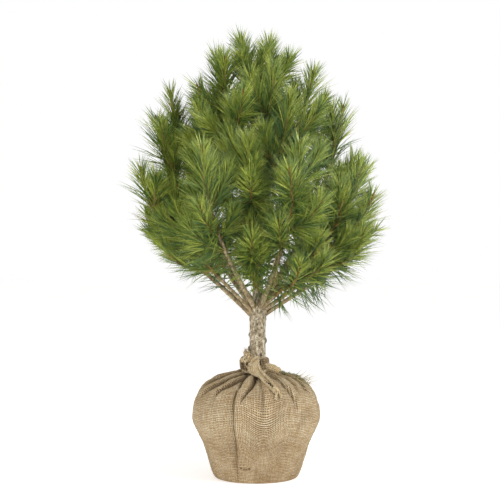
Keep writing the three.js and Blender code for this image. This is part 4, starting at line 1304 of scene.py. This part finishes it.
# the loop that hangs from the tie over the front of the ball: azimuth, distance from the axis, height
loopRoute = [
    (278, 34, 313), (264, 38, 309), (252, 43, 299), (247, 48, 286), (255, 56, 275), (268, 70, 270.5),
    (276, 90, 267), (281, 116, 256), (285.5, 134, 244), (288.5, 142, 236), (291.5, 138, 241), (289, 120, 256),
    (286, 90, 268), (284, 62, 276), (279, 47, 290), (277, 38, 305),
]
tailRoutes = [
    [(288, 143, 238), (289.5, 149, 231), (288.5, 154, 224), (287.5, 156.5, 217)],
    [(289, 142, 239), (292, 148, 232), (293.5, 152, 227), (293.5, 155, 221)],
]
knot = {"middle": (45, -135, 241), "size": 4.6, "turns": 2.2}


def twineTree():
    # two plies laid round each other along a line
    tree = newTree("twine", [
        ("Ply Radius", "NodeSocketFloat", 0.001), ("Lay Length", "NodeSocketFloat", 0.01),
        ("Material", "NodeSocketMaterial", None),
    ])
    add = partial(addNode, tree)
    given = add("NodeGroupInput").node.outputs
    line = add("GeometryNodeResampleCurve", {"Curve": given["Geometry"], "Length": 1.6 * mm}, mode="LENGTH")
    reached = add("GeometryNodeSplineParameter", output="Length")
    share = add("ShaderNodeMath", {0: reached, 1: given["Lay Length"]}, operation="DIVIDE")
    turns = add("ShaderNodeMath", {0: share, 1: 2 * math.pi}, operation="MULTIPLY")
    tilted = add("GeometryNodeSetCurveTilt", {"Curve": line, "Tilt": turns})
    ply = {"Resolution": 7, "Radius": given["Ply Radius"]}
    ply = add("GeometryNodeCurvePrimitiveCircle", ply, mode="RADIUS")
    both = add("GeometryNodeJoinGeometry").node
    for side in (0.8, -0.8):
        aside = add("ShaderNodeMath", {0: given["Ply Radius"], 1: side}, operation="MULTIPLY")
        aside = add("ShaderNodeCombineXYZ", {"X": aside})
        moved = add("GeometryNodeTransform", {"Geometry": ply, "Translation": aside})
        tree.links.new(moved, both.inputs[0])
    laid = {"Curve": tilted, "Profile Curve": both.outputs[0], "Fill Caps": True}
    laid = add("GeometryNodeCurveToMesh", laid)
    real = add("GeometryNodeRealizeInstances", {"Geometry": laid})
    finished = add("GeometryNodeSetMaterial", {"Geometry": real, "Material": given["Material"]})
    add("NodeGroupOutput", {"Geometry": finished})
    return tree


def routePlaces(route):
    return np.array([spot(*place) for place in route])


# widths are shares of the room between the loop's two sides, and the end is a share of the loop's length
tongue = {
    "rows": 72, "columns": 16, "end": 0.72, "width": 0.95, "endWidth": 0.3, "narrowsFrom": 0.55,
    "bulge": 2.5, "sunk": 3.5, "crumple": 2.6,
}


def makeTongue():
    # a twist of cloth pulled out through the loop, between its two sides
    places, rows = routePlaces(loopRoute), tongue["rows"]
    whole = round(rows / tongue["end"])
    left, right = [through(side, whole)[:rows] for side in (places[:10], places[:8:-1])]
    narrowed = smooth(np.linspace(0, 1, rows), tongue["narrowsFrom"], 1)
    width = lerp(tongue["width"], tongue["endWidth"], narrowed)[:, None, None]
    share = 0.5 + (np.linspace(0, 1, tongue["columns"])[None, :, None] - 0.5) * width
    grid = left[:, None, :] * (1 - share) + right[:, None, :] * share
    away = unit(grid - np.array([0, 0, 150]))
    crumple = tongue["crumple"] * clothNoise(grid, 12, 21)[..., None]
    bulge = tongue["bulge"] * np.sin(np.pi * share) - tongue["sunk"] + crumple
    cloth = np.stack(np.broadcast_arrays(share[..., 0] * 32, np.arange(rows)[:, None] * 1.9), axis=-1)
    clothSheet("burlap_tongue", grid + away * bulge, cloth)


def makeTwine():
    turn = np.linspace(0, 360 * twine["coils"], 60)
    radius = twine["coilRadius"] + 0.5 * np.sin(np.radians(turn) * 5)
    coil = towards(twine["coilFrom"] + turn, 0) * radius[:, None] + shift
    coil[:, 2] = twine["tieHeight"] + twine["coilRise"] * turn / turn[-1] + 0.8 * np.sin(np.radians(turn) * 3)
    loop = routePlaces(loopRoute)
    t = np.linspace(0, 2 * math.pi * knot["turns"], 40)
    tied = np.stack([1.2 * np.cos(t) + 0.08 * t, -0.7 * np.sin(t), np.sin(t) - 0.1 * t], axis=1)
    tied = tied * knot["size"] + knot["middle"]
    lines = [through(np.concatenate([loop, loop[:2]]), 200), through(coil, 200), through(tied, 90)]
    lines += [through(routePlaces(route), 24) for route in tailRoutes]
    curve = bpy.data.curves.new("twine", "CURVE")
    curve.dimensions = "3D"
    for places in lines:
        spline = curve.splines.new("POLY")
        spline.points.add(len(places) - 1)
        weighted = np.concatenate([places * mm, np.ones((len(places), 1))], axis=1)
        spline.points.foreach_set("co", weighted.ravel())
    piece = bpy.data.objects.new("twine_tie", curve)
    bpy.context.scene.collection.objects.link(piece)
    sizes = {"Ply Radius": twine["ply"] * mm, "Lay Length": twine["lay"] * mm, "Material": jute}
    piece = runTree(piece, twineTree(), sizes)
    piece.data.polygons.foreach_set("use_smooth", [True] * len(piece.data.polygons))
    settle(piece, [], "twine", "twine")


# jute twine: pale straw fibres laid in a twist, matt and a little hairy
jute = twoTone("jute twine, two ply", "#a89066", "#e0cfaa", 2.6 * mm, {
    "Roughness": 0.9, "Sheen Weight": 0.2, "IOR": 1.45,
})
makeTwine()
makeTongue()

# frayed fibres, moss and straw
frays = {"onCloth": 620, "onRim": 420, "length": 10, "girth": 0.3}
moss = {"count": 2400, "azimuth": (335, 385), "radius": (56, 134), "length": 7, "girth": 0.5}
straw = {"count": 34, "azimuth": (346, 372), "radius": (104, 134), "length": 46, "girth": 0.5}


def heightAt(radius):
    return np.interp(-np.asarray(radius), [-r for r, _ in ballOutline[4:]], [h for _, h in ballOutline[4:]])


def onShoulder(azimuth, radius, off):
    place = towards(azimuth, 0) * radius[:, None]
    place[:, 2] = heightAt(radius) + off
    return place


def makeFrays():
    rng = np.random.default_rng(5)
    count, rim = frays["onCloth"], frays["onRim"]
    rows = rng.integers(8, len(wrapRings) - 40, count)
    place = np.array([onWrap(a, r, -0.3) for a, r in zip(rng.uniform(0, 360, count), rows)])
    away = unit(place - np.array([0, 0, 120]))
    aim = unit(away * 0.55 + rng.normal(0, 0.8, (count, 3)))
    reach = frays["length"] * rng.uniform(0.4, 1.1, count)
    sag = rng.normal(0, 0.3, (count, 3)) * reach[:, None] - away * 0.25 * reach[:, None]
    rimPlace = cornerGrid[-1, rng.integers(0, cornerGrid.shape[1], rim)]
    rimAim = unit(rng.normal((-0.35, -0.15, 0.9), (0.5, 0.5, 0.3), (rim, 3)))
    rimReach = rng.uniform(4, 13, rim)
    rimSag = rng.normal(0, 0.35, (rim, 3)) * rimReach[:, None]
    place, aim, reach, sag = merged([(place, aim, reach, sag), (rimPlace, rimAim, rimReach, rimSag)])
    piece = makeBristles("burlap_frays", place, aim, reach, frays["girth"], sag, jute, steps=3)
    settle(piece, [], "burlap")


def makeMoss():
    rng = np.random.default_rng(9)
    azimuth = rng.uniform(*moss["azimuth"], moss["count"])
    radius = rng.uniform(*moss["radius"], moss["count"])
    kept = np.array([noise.noise(Vector((a * 0.11, r * 0.06, 2))) for a, r in zip(azimuth, radius)]) > -0.05
    azimuth, radius = azimuth[kept], radius[kept]
    count = len(azimuth)
    aim = unit(towards(azimuth, 35) + rng.normal(0, 0.7, (count, 3)))
    reach = moss["length"] * rng.uniform(0.4, 1.3, count)
    sag = rng.normal(0, 0.25, (count, 3)) * reach[:, None]
    dull = twoTone("moss, dull olive", "#5f6238", "#9c9768", 5 * mm, {"Roughness": 0.95, "IOR": 1.45})
    piece = makeBristles("moss", onShoulder(azimuth, radius, 0.5), aim, reach, moss["girth"], sag, dull)
    settle(piece, [], "foliage")


def makeStraw():
    rng = np.random.default_rng(13)
    count = straw["count"]
    azimuth, radius = rng.uniform(*straw["azimuth"], count), rng.uniform(*straw["radius"], count)
    aim = unit(towards(azimuth, 38) + rng.normal(0, 0.35, (count, 3)))
    reach = straw["length"] * rng.uniform(0.4, 1.1, count)
    sag = rng.normal(0, 0.14, (count, 3)) * reach[:, None] + towards(azimuth, -30) * 0.22 * reach[:, None]
    dry = twoTone("dry straw", "#a99b75", "#d2c6a1", 9 * mm, {"Roughness": 0.8, "IOR": 1.45})
    place = onShoulder(azimuth, radius, 0)
    piece = makeBristles("straw", place, aim, reach, straw["girth"], sag, dry, steps=4)
    settle(piece, [], "burlap")


makeFrays()
makeMoss()
makeStraw()
